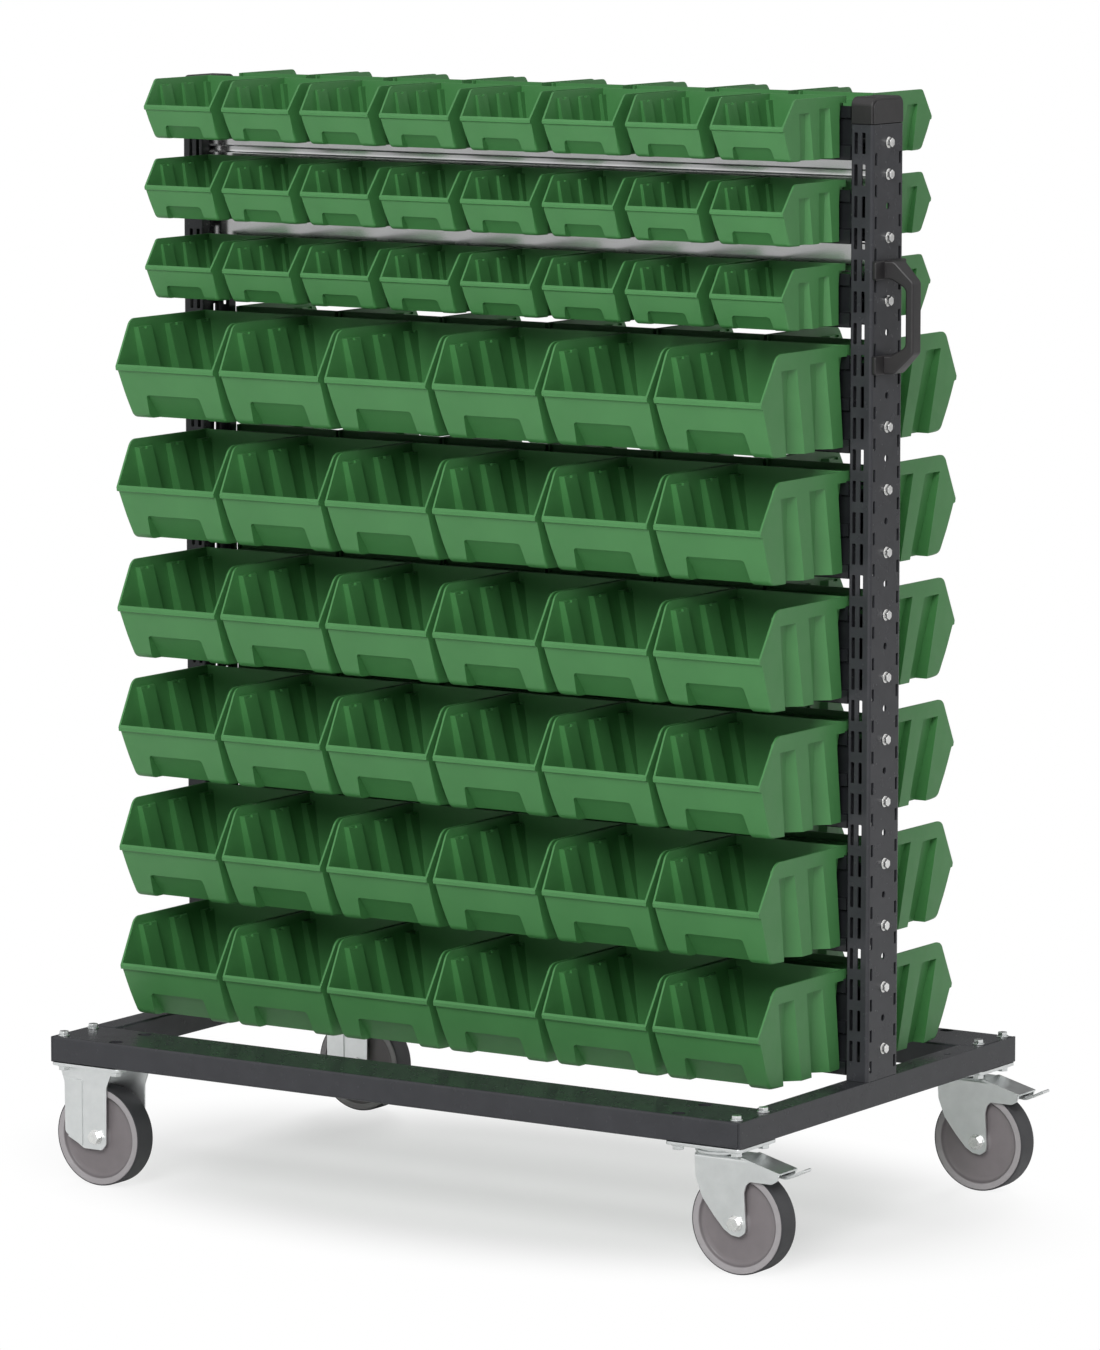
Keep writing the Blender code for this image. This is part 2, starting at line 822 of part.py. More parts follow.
def swivel_fork(centre):
    """Pressed fork: crown, two legs that reach out as brake arms, and a cover."""
    cx, cy = centre
    axle_x = cx + WHEEL_TRAIL
    axle_z = WHEEL_RADIUS
    top = CROWN_TOP
    leg = [
        (axle_x - 56, top - 0.5),
        (axle_x - 54, top - 29.5),
        (axle_x - 45, axle_z + 27),
        (axle_x - 29, axle_z + 7),
        (axle_x - 15, axle_z - 8),
        (axle_x - 5, axle_z - 14),
        (axle_x + 6, axle_z - 15.5),
        (axle_x + 14, axle_z - 10),
        (axle_x + 15, axle_z - 3),
        (axle_x + 12.5, axle_z + 38),
        (axle_x + 15, top - 32.5),
        (axle_x + 20, top - 27.5),
        (axle_x + 50, top - 27.5),
        (axle_x + BRAKE_ARM_REACH - 4, top - 23.5),
        (axle_x + BRAKE_ARM_REACH, top - 13.5),
        (axle_x + 10, top - 0.5),
    ]
    crown = box(
        (leg[0][0], leg[-1][0]),
        (cy - LEG_OUTER, cy + LEG_OUTER),
        (top - CROWN_SHEET, top),
    )
    cover = prism(
        [
            (leg[-1][0] - 1, top),
            (leg[-2][0], leg[-2][1]),
            (leg[-2][0] - 0.5, leg[-2][1] - 2),
            (leg[-1][0] - 1, top - 2),
        ],
        "Y",
        cy - LEG_OUTER,
        cy + LEG_OUTER,
    )
    near = prism(leg, "Y", cy - LEG_OUTER, cy - LEG_INNER)
    far = prism(leg, "Y", cy + LEG_INNER, cy + LEG_OUTER)
    mesh = joined(crown, near, far, cover)
    bore = rod("Z", centre, KINGPIN_RADIUS + GAP, top - 2 * CROWN_SHEET, top + 2, count=12)
    axle_bore = rod(
        "Y",
        (axle_x, axle_z),
        AXLE_RADIUS + GAP,
        cy - LEG_OUTER - 2,
        cy + LEG_OUTER + 2,
        count=12,
    )
    return cut(mesh, bore, axle_bore)


def fixed_fork(centre):
    """Fixed caster: bolted plate with two straight legs."""
    cx, cy = centre
    axle_z = WHEEL_RADIUS
    top = PLATE_BOTTOM + 1
    leg = [
        (cx - 55, top),
        (cx - 52, top - 14.2),
        (cx - 43, top - 32.2),
        (cx - 42, axle_z + 5),
        (cx - 28, axle_z - 10),
        (cx - 16, axle_z - 16),
        (cx + 10, axle_z - 16),
        (cx + 14, axle_z - 10),
        (cx + 26, axle_z + 4),
        (cx + 27, top - 28.2),
        (cx + 33, top - 14.2),
        (cx + 38, top),
    ]
    half_plate = PLATE_LENGTH / 2
    leg = [(max(min(x, cx + half_plate), cx - half_plate), z) for x, z in leg]
    turned_leg = [(2 * cx - x, z) for x, z in leg]
    near = prism(leg, "Y", cy - LEG_OUTER, cy - LEG_INNER)
    far = prism(turned_leg, "Y", cy + LEG_INNER, cy + LEG_OUTER)
    mesh = plate_with_bolts(centre, -1, [near, far])
    axle_bore = rod(
        "Y",
        (cx, axle_z),
        AXLE_RADIUS + GAP,
        cy - LEG_OUTER - 2,
        cy + LEG_OUTER + 2,
        count=12,
    )
    return cut(mesh, axle_bore)


def axle(centre):
    """Axle bolt with a hexagon head on one leg and a nut on the other."""
    cx, cy, cz = centre
    out = LEG_OUTER + GAP
    shank = rod("Y", (cx, cz), AXLE_RADIUS, cy - out - 1, cy + out + 1, count=12)
    head = rod("Y", (cx, cz), BOLT_HEAD_RADIUS + 1, cy - out - 5, cy - out, count=6)
    nut = rod("Y", (cx, cz), BOLT_HEAD_RADIUS + 1, cy + out, cy + out + 6, count=6)
    return joined(shank, head, nut)


def tyre(centre):
    """Tread band with a keyed inner rib."""
    radius = WHEEL_RADIUS
    half = WHEEL_WIDTH / 2
    profile = [
        (radius - TREAD_DEPTH, -half + RIM_FLANGE),
        (radius - TREAD_LAP, -half + RIM_FLANGE),
        (radius - TREAD_LAP, -half),
        (radius, -half + 1.5),
        (radius, half - 1.5),
        (radius - TREAD_LAP, half),
        (radius - TREAD_LAP, half - RIM_FLANGE),
        (radius - TREAD_DEPTH, half - RIM_FLANGE),
    ]
    return turned(profile, centre, WHEEL_FACETS)


def hub(centre):
    """Dished wheel centre with rim flanges that hold the tread."""
    radius = WHEEL_RADIUS
    half = WHEEL_WIDTH / 2
    bore = AXLE_RADIUS + GAP
    flange = radius - TREAD_LAP - GAP / 2
    seat = radius - TREAD_DEPTH - GAP
    boss = LEG_INNER - GAP
    side = [
        (bore, boss),
        (HUB_BOSS_RADIUS, boss),
        (HUB_RING_RADIUS, half - HUB_DISH),
        (HUB_RING_RADIUS, half),
        (flange, half),
        (flange, half - RIM_FLANGE + GAP),
        (seat, half - RIM_FLANGE + GAP),
    ]
    other = [(r, -y) for r, y in reversed(side)]
    return turned(side + other, centre, WHEEL_FACETS)


def pedal_pivot(centre):
    return (centre[0] + WHEEL_TRAIL + 38, centre[1], CROWN_TOP - PEDAL_PIVOT_DROP)


def pedal(centre):
    """Brake lever on a pin between the fork's arms."""
    x, y, z = pedal_pivot(centre)
    outline = [
        (x - 8, z - 3),
        (x + 25, z - 6),
        (x + PEDAL_REACH, z + 8),
        (x + PEDAL_REACH - 1, z + 11.5),
        (x + 28, z - 1.5),
        (x - 8, z + 2),
    ]
    half = PEDAL_WIDTH / 2
    lever = prism(outline, "Y", y - half, y + half)
    pin_reach = LEG_INNER - GAP
    pin = rod("Y", (x, z), PEDAL_PIVOT_RADIUS, y - pin_reach, y + pin_reach, count=8)
    return joined(lever, pin)


def build():
    clear_scene()
    steel = make_material("powder_coated_steel", (0.045, 0.046, 0.052), 0.38, 0.0)
    rail_steel = make_material("coated_rail", (0.035, 0.036, 0.041), 0.3, 0.0)
    zinc = make_material("zinc_plated_steel", (0.62, 0.64, 0.64), 0.3, 1.0)
    fork_zinc = make_material("zinc_plated_fork", (0.66, 0.68, 0.68), 0.32, 1.0)
    green = make_material("green_polypropylene", (0.075, 0.26, 0.08), 0.45, 0.0)
    black = make_material("black_plastic", (0.02, 0.02, 0.022), 0.45, 0.0)
    tread = make_material("dark_tread", (0.06, 0.06, 0.065), 0.6, 0.0)
    core = make_material("grey_hub", (0.2, 0.18, 0.19), 0.5, 0.0)

    add_piece("base_front", end_channel(-1), steel)
    add_piece("base_rear", end_channel(1), steel)
    add_piece("base_left", side_channel(-1), steel)
    add_piece("base_right", side_channel(1), steel)
    add_piece("upright_left", upright(-1), steel)
    add_piece("upright_right", upright(1), steel)
    add_piece("cap_left", cap(-1), black)
    add_piece("cap_right", cap(1), black)
    add_piece("push_handle", push_handle(), black)
    for label, index in zip(("upper", "lower"), CROSSBAR_HOLES):
        add_piece(f"crossbar_{label}", crossbar(index), zinc)

    small_reaches = (SMALL_LIP_REACH, SMALL_RIM_REACH, SMALL_FLOOR_REACH)
    large_reaches = (LARGE_LIP_REACH, LARGE_RIM_REACH, LARGE_FLOOR_REACH)
    small_bin = bin_shell(SMALL_WIDTH, SMALL_HEIGHT, SMALL_LIP_DROP, small_reaches, ())
    large_bin = bin_shell(
        LARGE_WIDTH, LARGE_HEIGHT, LARGE_LIP_DROP, large_reaches, LARGE_FLUTES
    )
    for number in range(1, len(SMALL_RAILS) + LARGE_ROWS + 1):
        if number <= len(SMALL_RAILS):
            hole, rise = SMALL_RAILS[number - 1]
            top = hole_level(hole) + rise
            rail_mesh = rail(top, (hole,), SMALL_RIBS)
            layout = (small_bin, SMALL_COUNT, SMALL_PITCH, SMALL_WIDTH)
        else:
            holes = large_rail_holes(number - len(SMALL_RAILS) - 1)
            top = hole_level(holes[0]) + LARGE_RAIL_RISE
            rail_mesh = rail(top, holes, LARGE_RIBS)
            layout = (large_bin, LARGE_COUNT, LARGE_PITCH, LARGE_WIDTH)
        add_piece(f"rail_{number}", rail_mesh, rail_steel)
        for label, side in (("front", -1), ("rear", 1)):
            row_mesh = bin_row(side, top, *layout)
            hang = (0.0, side * BIN_BACK, top)
            add_piece(f"bins_{label}_{number}", row_mesh, green, origin=hang)

    for label, side in (("front", -1), ("rear", 1)):
        y = side * CASTER_Y
        centre = (CASTER_X, y)
        axis = (CASTER_X + WHEEL_TRAIL, y, WHEEL_RADIUS)
        name = f"swivel_{label}"
        plate = add_piece(f"{name}_plate", swivel_plate(centre), zinc)
        fork = add_piece(
            f"{name}_fork",
            swivel_fork(centre),
            fork_zinc,
            origin=(CASTER_X, y, CROWN_TOP),
            parent=plate,
        )
        for piece, mesh, look in (
            ("axle", axle(axis), zinc),
            ("hub", hub(axis), core),
            ("tyre", tyre(axis), tread),
        ):
            item = add_piece(f"{name}_{piece}", mesh, look, origin=axis, smooth=True)
            item.parent = fork
            item.location = Vector(axis) * MM - fork.matrix_local.translation
        hinge = pedal_pivot(centre)
        lever = add_piece(f"{name}_pedal", pedal(centre), zinc, origin=hinge)
        lever.parent = fork
        lever.location = Vector(hinge) * MM - fork.location

        centre = (-CASTER_X, y)
        axis = (-CASTER_X, y, WHEEL_RADIUS)
        name = f"fixed_{label}"
        mount = add_piece(f"{name}_fork", fixed_fork(centre), fork_zinc)
        for piece, mesh, look in (
            ("axle", axle(axis), zinc),
            ("hub", hub(axis), core),
            ("tyre", tyre(axis), tread),
        ):
            add_piece(
                f"{name}_{piece}", mesh, look, origin=axis, smooth=True, parent=mount
            )


build()
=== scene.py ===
"""Looks of the mobile bin cart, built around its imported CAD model.

Lengths are in millimetres and each mesh is scaled to metres as it becomes a
piece.  The floor is z = 0, +X points to the push handle and -Y is the front.
"""

import math

import bmesh
import bpy
from mathutils import Matrix, Vector


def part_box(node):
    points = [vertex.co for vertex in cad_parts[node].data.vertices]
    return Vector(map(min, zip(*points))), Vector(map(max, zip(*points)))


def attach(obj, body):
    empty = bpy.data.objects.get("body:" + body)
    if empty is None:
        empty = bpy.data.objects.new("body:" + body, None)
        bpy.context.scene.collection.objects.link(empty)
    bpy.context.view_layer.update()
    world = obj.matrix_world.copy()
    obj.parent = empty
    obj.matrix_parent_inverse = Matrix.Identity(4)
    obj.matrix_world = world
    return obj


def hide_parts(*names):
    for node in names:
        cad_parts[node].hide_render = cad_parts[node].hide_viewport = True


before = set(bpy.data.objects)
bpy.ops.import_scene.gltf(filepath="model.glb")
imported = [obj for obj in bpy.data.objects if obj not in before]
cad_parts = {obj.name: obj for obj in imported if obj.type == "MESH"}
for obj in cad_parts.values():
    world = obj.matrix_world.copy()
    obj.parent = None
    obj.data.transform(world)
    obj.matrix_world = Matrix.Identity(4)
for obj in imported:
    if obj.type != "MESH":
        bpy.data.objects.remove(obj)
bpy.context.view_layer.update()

MM = 0.001
GAP = 0.3

# Camera and lamps, in metres
AZIMUTH = math.radians(33.093)
ELEVATION = math.radians(7.683)
LENS = 185.6
CAMERA_PLACE = (4.6606, -7.1129, 1.7876)
LAMP_SIZE = 4.5
LAMP_TARGET = (0.0, 0.0, 0.7)

# Height, radius and washer radius of each kind of hexagon
PLATE_NUT = (6.5, 7.5, 9.0)
BASE_BOLT = (6.0, 6.4, 7.6)
UPRIGHT_BOLT = (6.0, 5.8, 6.8)
AXLE_HEAD = (6.0, 8.5, 9.5)
AXLE_NUT = (7.0, 8.5, 9.5)
WASHER_SHEET = 1.5

# Base frame
BASE_TOP = 188.0
BASE_LOW = 156.0
HALF_LENGTH = 502.0
HALF_WIDTH = 327.0
CHANNEL_WIDTH = 89.0
SIDE_WIDTH = 33.0
BASE_SHEET = 3.0
CHANNEL_LIP = 21.0
CHANNEL_BEND = 3.2
SIDE_HOLE = (489.5, 178.0)

# Uprights
UPRIGHT_TOP = 1334.0
UPRIGHT_INNER = 472.0
UPRIGHT_HALF = 36.0
UPRIGHT_SHEET = 2.0
UPRIGHT_BEND = 4.0
UPRIGHT_LIP = 20.6
FLANGE_SLOTS_X = (479.0, 489.5)
FLANGE_SLOT = (2.4, 12.6)
WEB_SLOT_Y = 28.0
WEB_SLOT = (2.7, 7.3)
SLOT_ROUND = 1.0
WEB_HOLE = 4.1
HOLE_PITCH = 37.5
HOLE_COUNT = 30
TOP_HOLE = 1312.2
CAP_TOP = 1366.5
CAP_LAP = 0.6
CAP_ROUND = 11.0
CAP_PANEL_ROUND = 9.0

# Push handle
HANDLE_OUT = 41.0
HANDLE_ARM = 16.0
HANDLE_THICK = 11.0
HANDLE_FOOT = 22.0
HANDLE_FOOT_SHEET = 5.0
HANDLE_ROOT_HALF = 17.0
HANDLE_GRIP_HALF = 10.0
HANDLE_TAPER = 30.0

# Rails and crossbars
RAIL_FACE = 36.7
RAIL_REACH = 471.7
RAIL_SHEET = 2.0
RAIL_RECESS = 5.0
RAIL_RIB_STEP = 1.5
RAIL_FLANGE = 10.7
STRAP_HALF = 19.0
TAB_HALF = 20.0
TAB_SHEET = 3.0
TAB_REACH = 6.5
WEB_INNER = 500.0
SMALL_RIBS = ((0.0, 14.0), (47.0, 64.0))
LARGE_RIBS = ((0.0, 17.0), (52.0, 66.0), (101.0, 117.0))
RAIL_HOLES = ((0,), (3,), (5,)) + tuple((7 + 4 * k, 9 + 4 * k) for k in range(6))
CROSSBAR_HOLES = (1, 4)
CROSSBAR_HALF = 8.0
CROSSBAR_TALL = 30.0
GROOVE_HALF = 4.0
GROOVE_DEPTH = 3.0
HANDLE_HOLES = (4, 7)

# Bins
BIN_BACK = 37.0
WALL = 2.5
DRAFT = 0.047
RAIL_DROP = 12.0

# A flute has the reach of its front edge and of its rear edge, each at its top
# and at the floor, and the height of its top.
LARGE = {
    "rows": range(4, 10),
    "count": 6,
    "pitch": 157.1,
    "half": 76.6,
    "height": 122.2,
    "lip": (191.5, -56.8),
    "lip_rise": 2.6,
    "rim": 158.5,
    "floor": 160.6,
    "bead": 5.0,
    "bead_height": 5.2,
    "rim_round": 16.0,
    "floor_round": 12.0,
    "depth": (8.0, 16.0),
    "panel_top": 10.5,
    "notch": 5.0,
    "notch_back": 8.0,
    "grip": (40.0, 44.0, 30.0),
    "grip_set": 20.0,
    "flutes": (
        ((149.3, 129.0), (114.0, 87.0), -20.0),
        ((85.0, 64.0), (49.0, 22.0), -16.7),
        ((19.5, -1.0), (-16.0, -43.0), -13.5),
    ),
}
SMALL = {
    "rows": range(1, 4),
    "count": 8,
    "pitch": 117.4,
    "half": 51.8,
    "height": 73.0,
    "lip": (136.0, -33.2),
    "lip_rise": 2.2,
    "rim": 111.0,
    "floor": 117.0,
    "bead": 3.6,
    "bead_height": 4.0,
    "rim_round": 8.5,
    "floor_round": 8.0,
    "depth": (4.0, 7.5),
    "panel_top": 7.5,
    "notch": 3.2,
    "notch_back": 7.0,
    "grip": (26.0, 29.0, 16.5),
    "grip_set": 12.0,
    "flutes": (
        ((100.8, 93.4), (76.8, 63.4), -17.0),
        ((55.5, 49.4), (31.5, 19.4), -13.1),
        ((9.8, 4.0), (-14.2, -26.0), -8.4),
    ),
}

# Casters
CASTER_X = 450.0
CASTER_Y = 285.0
WHEEL_RADIUS = 62.5
WHEEL_HALF = 16.0
WHEEL_TRAIL = 32.0
LEG_INNER = 18.0
LEG_OUTER = 20.5
CROWN_TOP = 142.0
PLATE_BOTTOM = 151.7
PLATE_TOP = 155.7
PLATE_HALF = (52.5, 42.0)
PLATE_BOLT_X = 40.0
PLATE_BOLT_Y = 30.0
BOLT_BORE = 4.3
ACCESS_BORE = 8.5
AXLE_BORE = 5.3


# Shapes


def place(u, v, along, axis):
    if axis == "X":
        return (along, u, v)
    if axis == "Y":
        return (u, along, v)
    return (u, v, along)


def finished(shape):
    bmesh.ops.recalc_face_normals(shape, faces=shape.faces)
    mesh = bpy.data.meshes.new("shape")
    shape.to_mesh(mesh)
    shape.free()
    return mesh


def bridged(near, far):
    """Closed shape between two rings of 3-D points with the same count."""
    shape = bmesh.new()
    near = [shape.verts.new(point) for point in near]
    far = [shape.verts.new(point) for point in far]
    shape.faces.new(near)
    shape.faces.new(list(reversed(far)))
    for k in range(len(near)):
        after = (k + 1) % len(near)
        shape.faces.new((near[k], far[k], far[after], near[after]))
    return shape


def loft(near, far):
    return finished(bridged(near, far))


def prism(outline, axis, low, high):
    near, far = ([place(u, v, end, axis) for u, v in outline] for end in (low, high))
    return loft(near, far)


def rectangle(u_range, v_range):
    (u0, u1), (v0, v1) = u_range, v_range
    return [(u0, v0), (u1, v0), (u1, v1), (u0, v1)]


def box(x_range, y_range, z_range):
    return prism(rectangle(x_range, y_range), "Z", *z_range)


def circle(radius, count, phase=0.0):
    step = 2 * math.pi / count
    return [
        (radius * math.cos(phase + step * k), radius * math.sin(phase + step * k))
        for k in range(count)
    ]


def rod(axis, centre, radius, low, high, count=24, phase=0.0):
    outline = [(centre[0] + u, centre[1] + v) for u, v in circle(radius, count, phase)]
    return prism(outline, axis, low, high)


def turned(profile, axis, count, centre=(0.0, 0.0)):
    """Turn a closed (radius, along) profile about an axis through centre."""
    shape = bmesh.new()
    rings = []
    for u, v in circle(1.0, count):
        spots = [
            place(centre[0] + u * r, centre[1] + v * r, along, axis)
            for r, along in profile
        ]
        rings.append([shape.verts.new(spot) for spot in spots])
    for index, ring in enumerate(rings):
        other = rings[(index + 1) % count]
        for k in range(len(profile)):
            after = (k + 1) % len(profile)
            shape.faces.new((ring[k], ring[after], other[after], other[k]))
    return finished(shape)


def fillet(points, radii, steps=4):
    """Round the corners of a closed outline; radii is one number or {index: radius}."""
    if not isinstance(radii, dict):
        radii = {k: radii for k in range(len(points))}
    rounded = []
    count = len(points)
    for k, point in enumerate(points):
        radius = radii.get(k, 0.0)
        corner = Vector(point)
        before = Vector(points[k - 1]) - corner
        after = Vector(points[(k + 1) % count]) - corner
        angle = before.angle(after)
        if radius <= 0 or angle > math.pi - 0.02:
            rounded.append(tuple(point))
            continue
        half = angle / 2
        room = 0.49 * min(before.length, after.length)
        reach = min(radius / math.tan(half), room)
        radius = reach * math.tan(half)
        before.normalize()
        after.normalize()
        centre = corner + (before + after).normalized() * (radius / math.sin(half))
        first = corner + before * reach - centre
        last = corner + after * reach - centre
        sweep = math.pi - angle
        for step in range(steps + 1):
            share = step / steps
            spot = (
                first * math.sin((1 - share) * sweep) + last * math.sin(share * sweep)
            ) / math.sin(sweep)
            rounded.append(tuple(centre + spot))
    return rounded


def merged(meshes):
    shape = bmesh.new()
    for mesh in meshes:
        shape.from_mesh(mesh)
    mesh = bpy.data.meshes.new("shape")
    shape.to_mesh(mesh)
    shape.free()
    return mesh


def baked(mesh, *modifiers):
    """The mesh with modifiers, given as (type, settings), applied to it."""
    item = bpy.data.objects.new("work", mesh)
    bpy.context.scene.collection.objects.link(item)
    for kind, settings in modifiers:
        modifier = item.modifiers.new(kind, kind)
        for name, value in settings.items():
            setattr(modifier, name, value)
    graph = bpy.context.evaluated_depsgraph_get()
    result = bpy.data.meshes.new_from_object(item.evaluated_get(graph))
    bpy.data.objects.remove(item, do_unlink=True)
    return result


def combined(mesh, others, operation):
    tool = bpy.data.objects.new("tool", merged(others))
    bpy.context.scene.collection.objects.link(tool)
    settings = {"solver": "EXACT", "operation": operation, "object": tool}
    result = baked(mesh, ("BOOLEAN", settings))
    bpy.data.objects.remove(tool, do_unlink=True)
    return result


def joined(mesh, *others):
    for other in others:
        mesh = combined(mesh, [other], "UNION")
    return mesh


def cut(mesh, *others):
    return combined(mesh, list(others), "DIFFERENCE")


def mirrored(mesh, axis):
    copy = mesh.copy()
    factors = (-1, 1, 1) if axis == "X" else (1, -1, 1)
    copy.transform(Matrix.Diagonal((*factors, 1)))
    copy.flip_normals()
    return copy


def eased(mesh, width, segments=2, angle=32.0):
    """Rounded edges wherever two faces meet at more than the angle."""
    return baked(
        mesh,
        (
            "BEVEL",
            {
                "width": width,
                "segments": segments,
                "limit_method": "ANGLE",
                "angle_limit": math.radians(angle),
                "use_clamp_overlap": True,
                "miter_outer": "MITER_ARC",
            },
        ),
    )


def ready(mesh, look, smooth=42.0):
    """Scale to metres, give the material and shade smooth between flat faces."""
    mesh = mesh.copy()
    mesh.transform(Matrix.Scale(MM, 4))
    mesh.materials.clear()
    mesh.materials.append(look)
    mesh.shade_smooth()
    mesh.set_sharp_from_angle(angle=math.radians(smooth))
    return baked(mesh, ("WEIGHTED_NORMAL", {"keep_sharp": True, "weight": 60}))


def add(name, mesh, body, slot, replaces=(), at=(0.0, 0.0, 0.0), turn=0.0):
    piece = bpy.data.objects.new(name, mesh)
    bpy.context.scene.collection.objects.link(piece)
    piece.location = Vector(at) * MM
    piece.rotation_euler = (0.0, 0.0, turn)
    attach(piece, body)
    if replaces:
        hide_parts(*replaces)


# Materials


class Look:
    """A Principled material whose textures read object coordinates in metres."""

    def __init__(self, name, roughness, metallic=0.0, specular=0.5):
        self.material = bpy.data.materials.new(name)
        self.material.use_nodes = True
        self.tree = self.material.node_tree
        self.shader = self.tree.nodes["Principled BSDF"]
        self.shader.inputs["Roughness"].default_value = roughness
        self.shader.inputs["Metallic"].default_value = metallic
        self.shader.inputs["Specular IOR Level"].default_value = specular
        coordinates = self.tree.nodes.new("ShaderNodeTexCoord")
        self.source = coordinates.outputs["Object"]

    def link(self, output, entry):
        self.tree.links.new(output, entry)

    def noise(self, scale, detail=2.0, roughness=0.5):
        node = self.tree.nodes.new("ShaderNodeTexNoise")
        node.inputs["Scale"].default_value = scale
        node.inputs["Detail"].default_value = detail
        node.inputs["Roughness"].default_value = roughness
        self.link(self.source, node.inputs["Vector"])
        return node.outputs["Fac"]

    def ramp(self, factor, low, high):
        """Blend of two colours, or of two grey levels, over the noise's middle."""
        node = self.tree.nodes.new("ShaderNodeValToRGB")
        first, last = node.color_ramp.elements
        first.position = 0.3
        last.position = 0.7
        first.color = (*low, 1.0) if isinstance(low, tuple) else (low, low, low, 1.0)
        last.color = (*high, 1.0) if isinstance(high, tuple) else (high, high, high, 1.0)
        self.link(factor, node.inputs["Fac"])
        return node.outputs["Color"]

    def colour(self, factor, low, high):
        self.link(self.ramp(factor, low, high), self.shader.inputs["Base Color"])

    def roughness(self, factor, low, high):
        self.link(self.ramp(factor, low, high), self.shader.inputs["Roughness"])

    def bump(self, factor, strength, distance):
        node = self.tree.nodes.new("ShaderNodeBump")
        node.inputs["Strength"].default_value = strength
        node.inputs["Distance"].default_value = distance
        self.link(factor, node.inputs["Height"])
        previous = self.shader.inputs["Normal"]
        if previous.links:
            self.link(previous.links[0].from_socket, node.inputs["Normal"])
        self.link(node.outputs["Normal"], previous)


def powder_coat(name, low, high, smooth, rough):
    look = Look(name, smooth, 0.0, 0.3)
    look.colour(look.noise(38.0, 3.0), low, high)
    look.roughness(look.noise(90.0, 2.0), smooth, rough)
    return look.material


def wheel_plastic(name):
    """Moulded wheel centre with a lighter boss, a darker dish and a lighter outer ring, and a
    dark band of painted shade in the step between dish and ring.
    """
    look = Look(name, 0.45)
    flat = look.tree.nodes.new("ShaderNodeMapping")
    flat.inputs["Scale"].default_value = (1.0, 0.0, 1.0)
    look.link(look.source, flat.inputs["Vector"])
    length = look.tree.nodes.new("ShaderNodeVectorMath")
    length.operation = "LENGTH"
    look.link(flat.outputs["Vector"], length.inputs[0])
    share = look.tree.nodes.new("ShaderNodeMath")
    share.operation = "DIVIDE"
    share.inputs[1].default_value = WHEEL_RADIUS * MM
    look.link(length.outputs["Value"], share.inputs[0])
    rings = look.tree.nodes.new("ShaderNodeValToRGB")
    stops = (
        (0.20, (0.26, 0.24, 0.25)),
        (0.30, (0.185, 0.165, 0.172)),
        (0.78, (0.205, 0.185, 0.192)),
        # darker stop at the step between the dish and the outer ring: painted shade in that
        # crease
        (0.835, (0.155, 0.140, 0.146)),
        (0.855, (0.37, 0.35, 0.36)),
    )
    ramp = rings.color_ramp
    while len(ramp.elements) < len(stops):
        ramp.elements.new(0.5)
    for element, (position, tint) in zip(ramp.elements, stops):
        element.position = position
        element.color = (*tint, 1.0)
    look.link(share.outputs["Value"], rings.inputs["Fac"])
    grain = look.ramp(look.noise(60.0, 3.0), 0.92, 1.0)
    mix = look.tree.nodes.new("ShaderNodeMix")
    mix.data_type = "RGBA"
    mix.blend_type = "MULTIPLY"
    mix.inputs["Factor"].default_value = 1.0
    look.link(rings.outputs["Color"], mix.inputs["A"])
    look.link(grain, mix.inputs["B"])
    look.link(mix.outputs["Result"], look.shader.inputs["Base Color"])
    look.roughness(look.noise(45.0, 2.0), 0.42, 0.55)
    look.bump(look.noise(2600.0, 1.0), 0.2, 0.0001)
    return look.material


def moulded(name, low, high, smooth, rough, grain):
    look = Look(name, smooth)
    look.colour(look.noise(14.0, 3.0), low, high)
    look.roughness(look.noise(45.0, 2.0), smooth, rough)
    look.bump(look.noise(2600.0, 1.0), grain, 0.0001)
    look.bump(look.noise(22.0, 1.0), 0.06, 0.001)
    return look.material


def plated(name, low, high, smooth, rough, scale):
    look = Look(name, smooth, 1.0)
    look.colour(look.noise(scale, 3.0, 0.6), low, high)
    look.roughness(look.noise(scale * 1.7, 2.0), smooth, rough)
    look.bump(look.noise(scale * 0.6), 0.01, 0.001)
    return look.material


# The two colours and the two roughnesses that noise blends between, then the
# strength of the grain for plastics or the scale of the noise for zinc.
MATERIALS = (
    (powder_coat, "coated_steel", (0.038, 0.039, 0.044), (0.045, 0.046, 0.052), 0.22, 0.28),
    # Rail coat: the rails' own dark anthracite, made much darker than the frame's coat as
    # painted shade for the dark gaps between the bin rows
    (powder_coat, "coated_rail", (0.011, 0.012, 0.014), (0.016, 0.017, 0.019), 0.20, 0.26),
    (moulded, "black_plastic", (0.013, 0.012, 0.013), (0.019, 0.017, 0.018), 0.40, 0.50, 0.25),
    (moulded, "green_plastic", (0.056, 0.214, 0.062), (0.066, 0.240, 0.072), 0.40, 0.50, 0.22),
    (wheel_plastic, "grey_hub"),
    (moulded, "tread", (0.036, 0.036, 0.040), (0.047, 0.047, 0.051), 0.52, 0.64, 0.3),
    (plated, "zinc_bar", (0.86, 0.87, 0.87), (0.92, 0.93, 0.93), 0.12, 0.16, 12.0),
    (plated, "zinc_caster", (0.72, 0.74, 0.74), (0.78, 0.80, 0.80), 0.30, 0.36, 60.0),
    (plated, "zinc_bolt", (0.80, 0.80, 0.79), (0.90, 0.90, 0.89), 0.20, 0.30, 180.0),
)


def make_materials():
    return {name: make(name, *values) for make, name, *values in MATERIALS}


# Fasteners


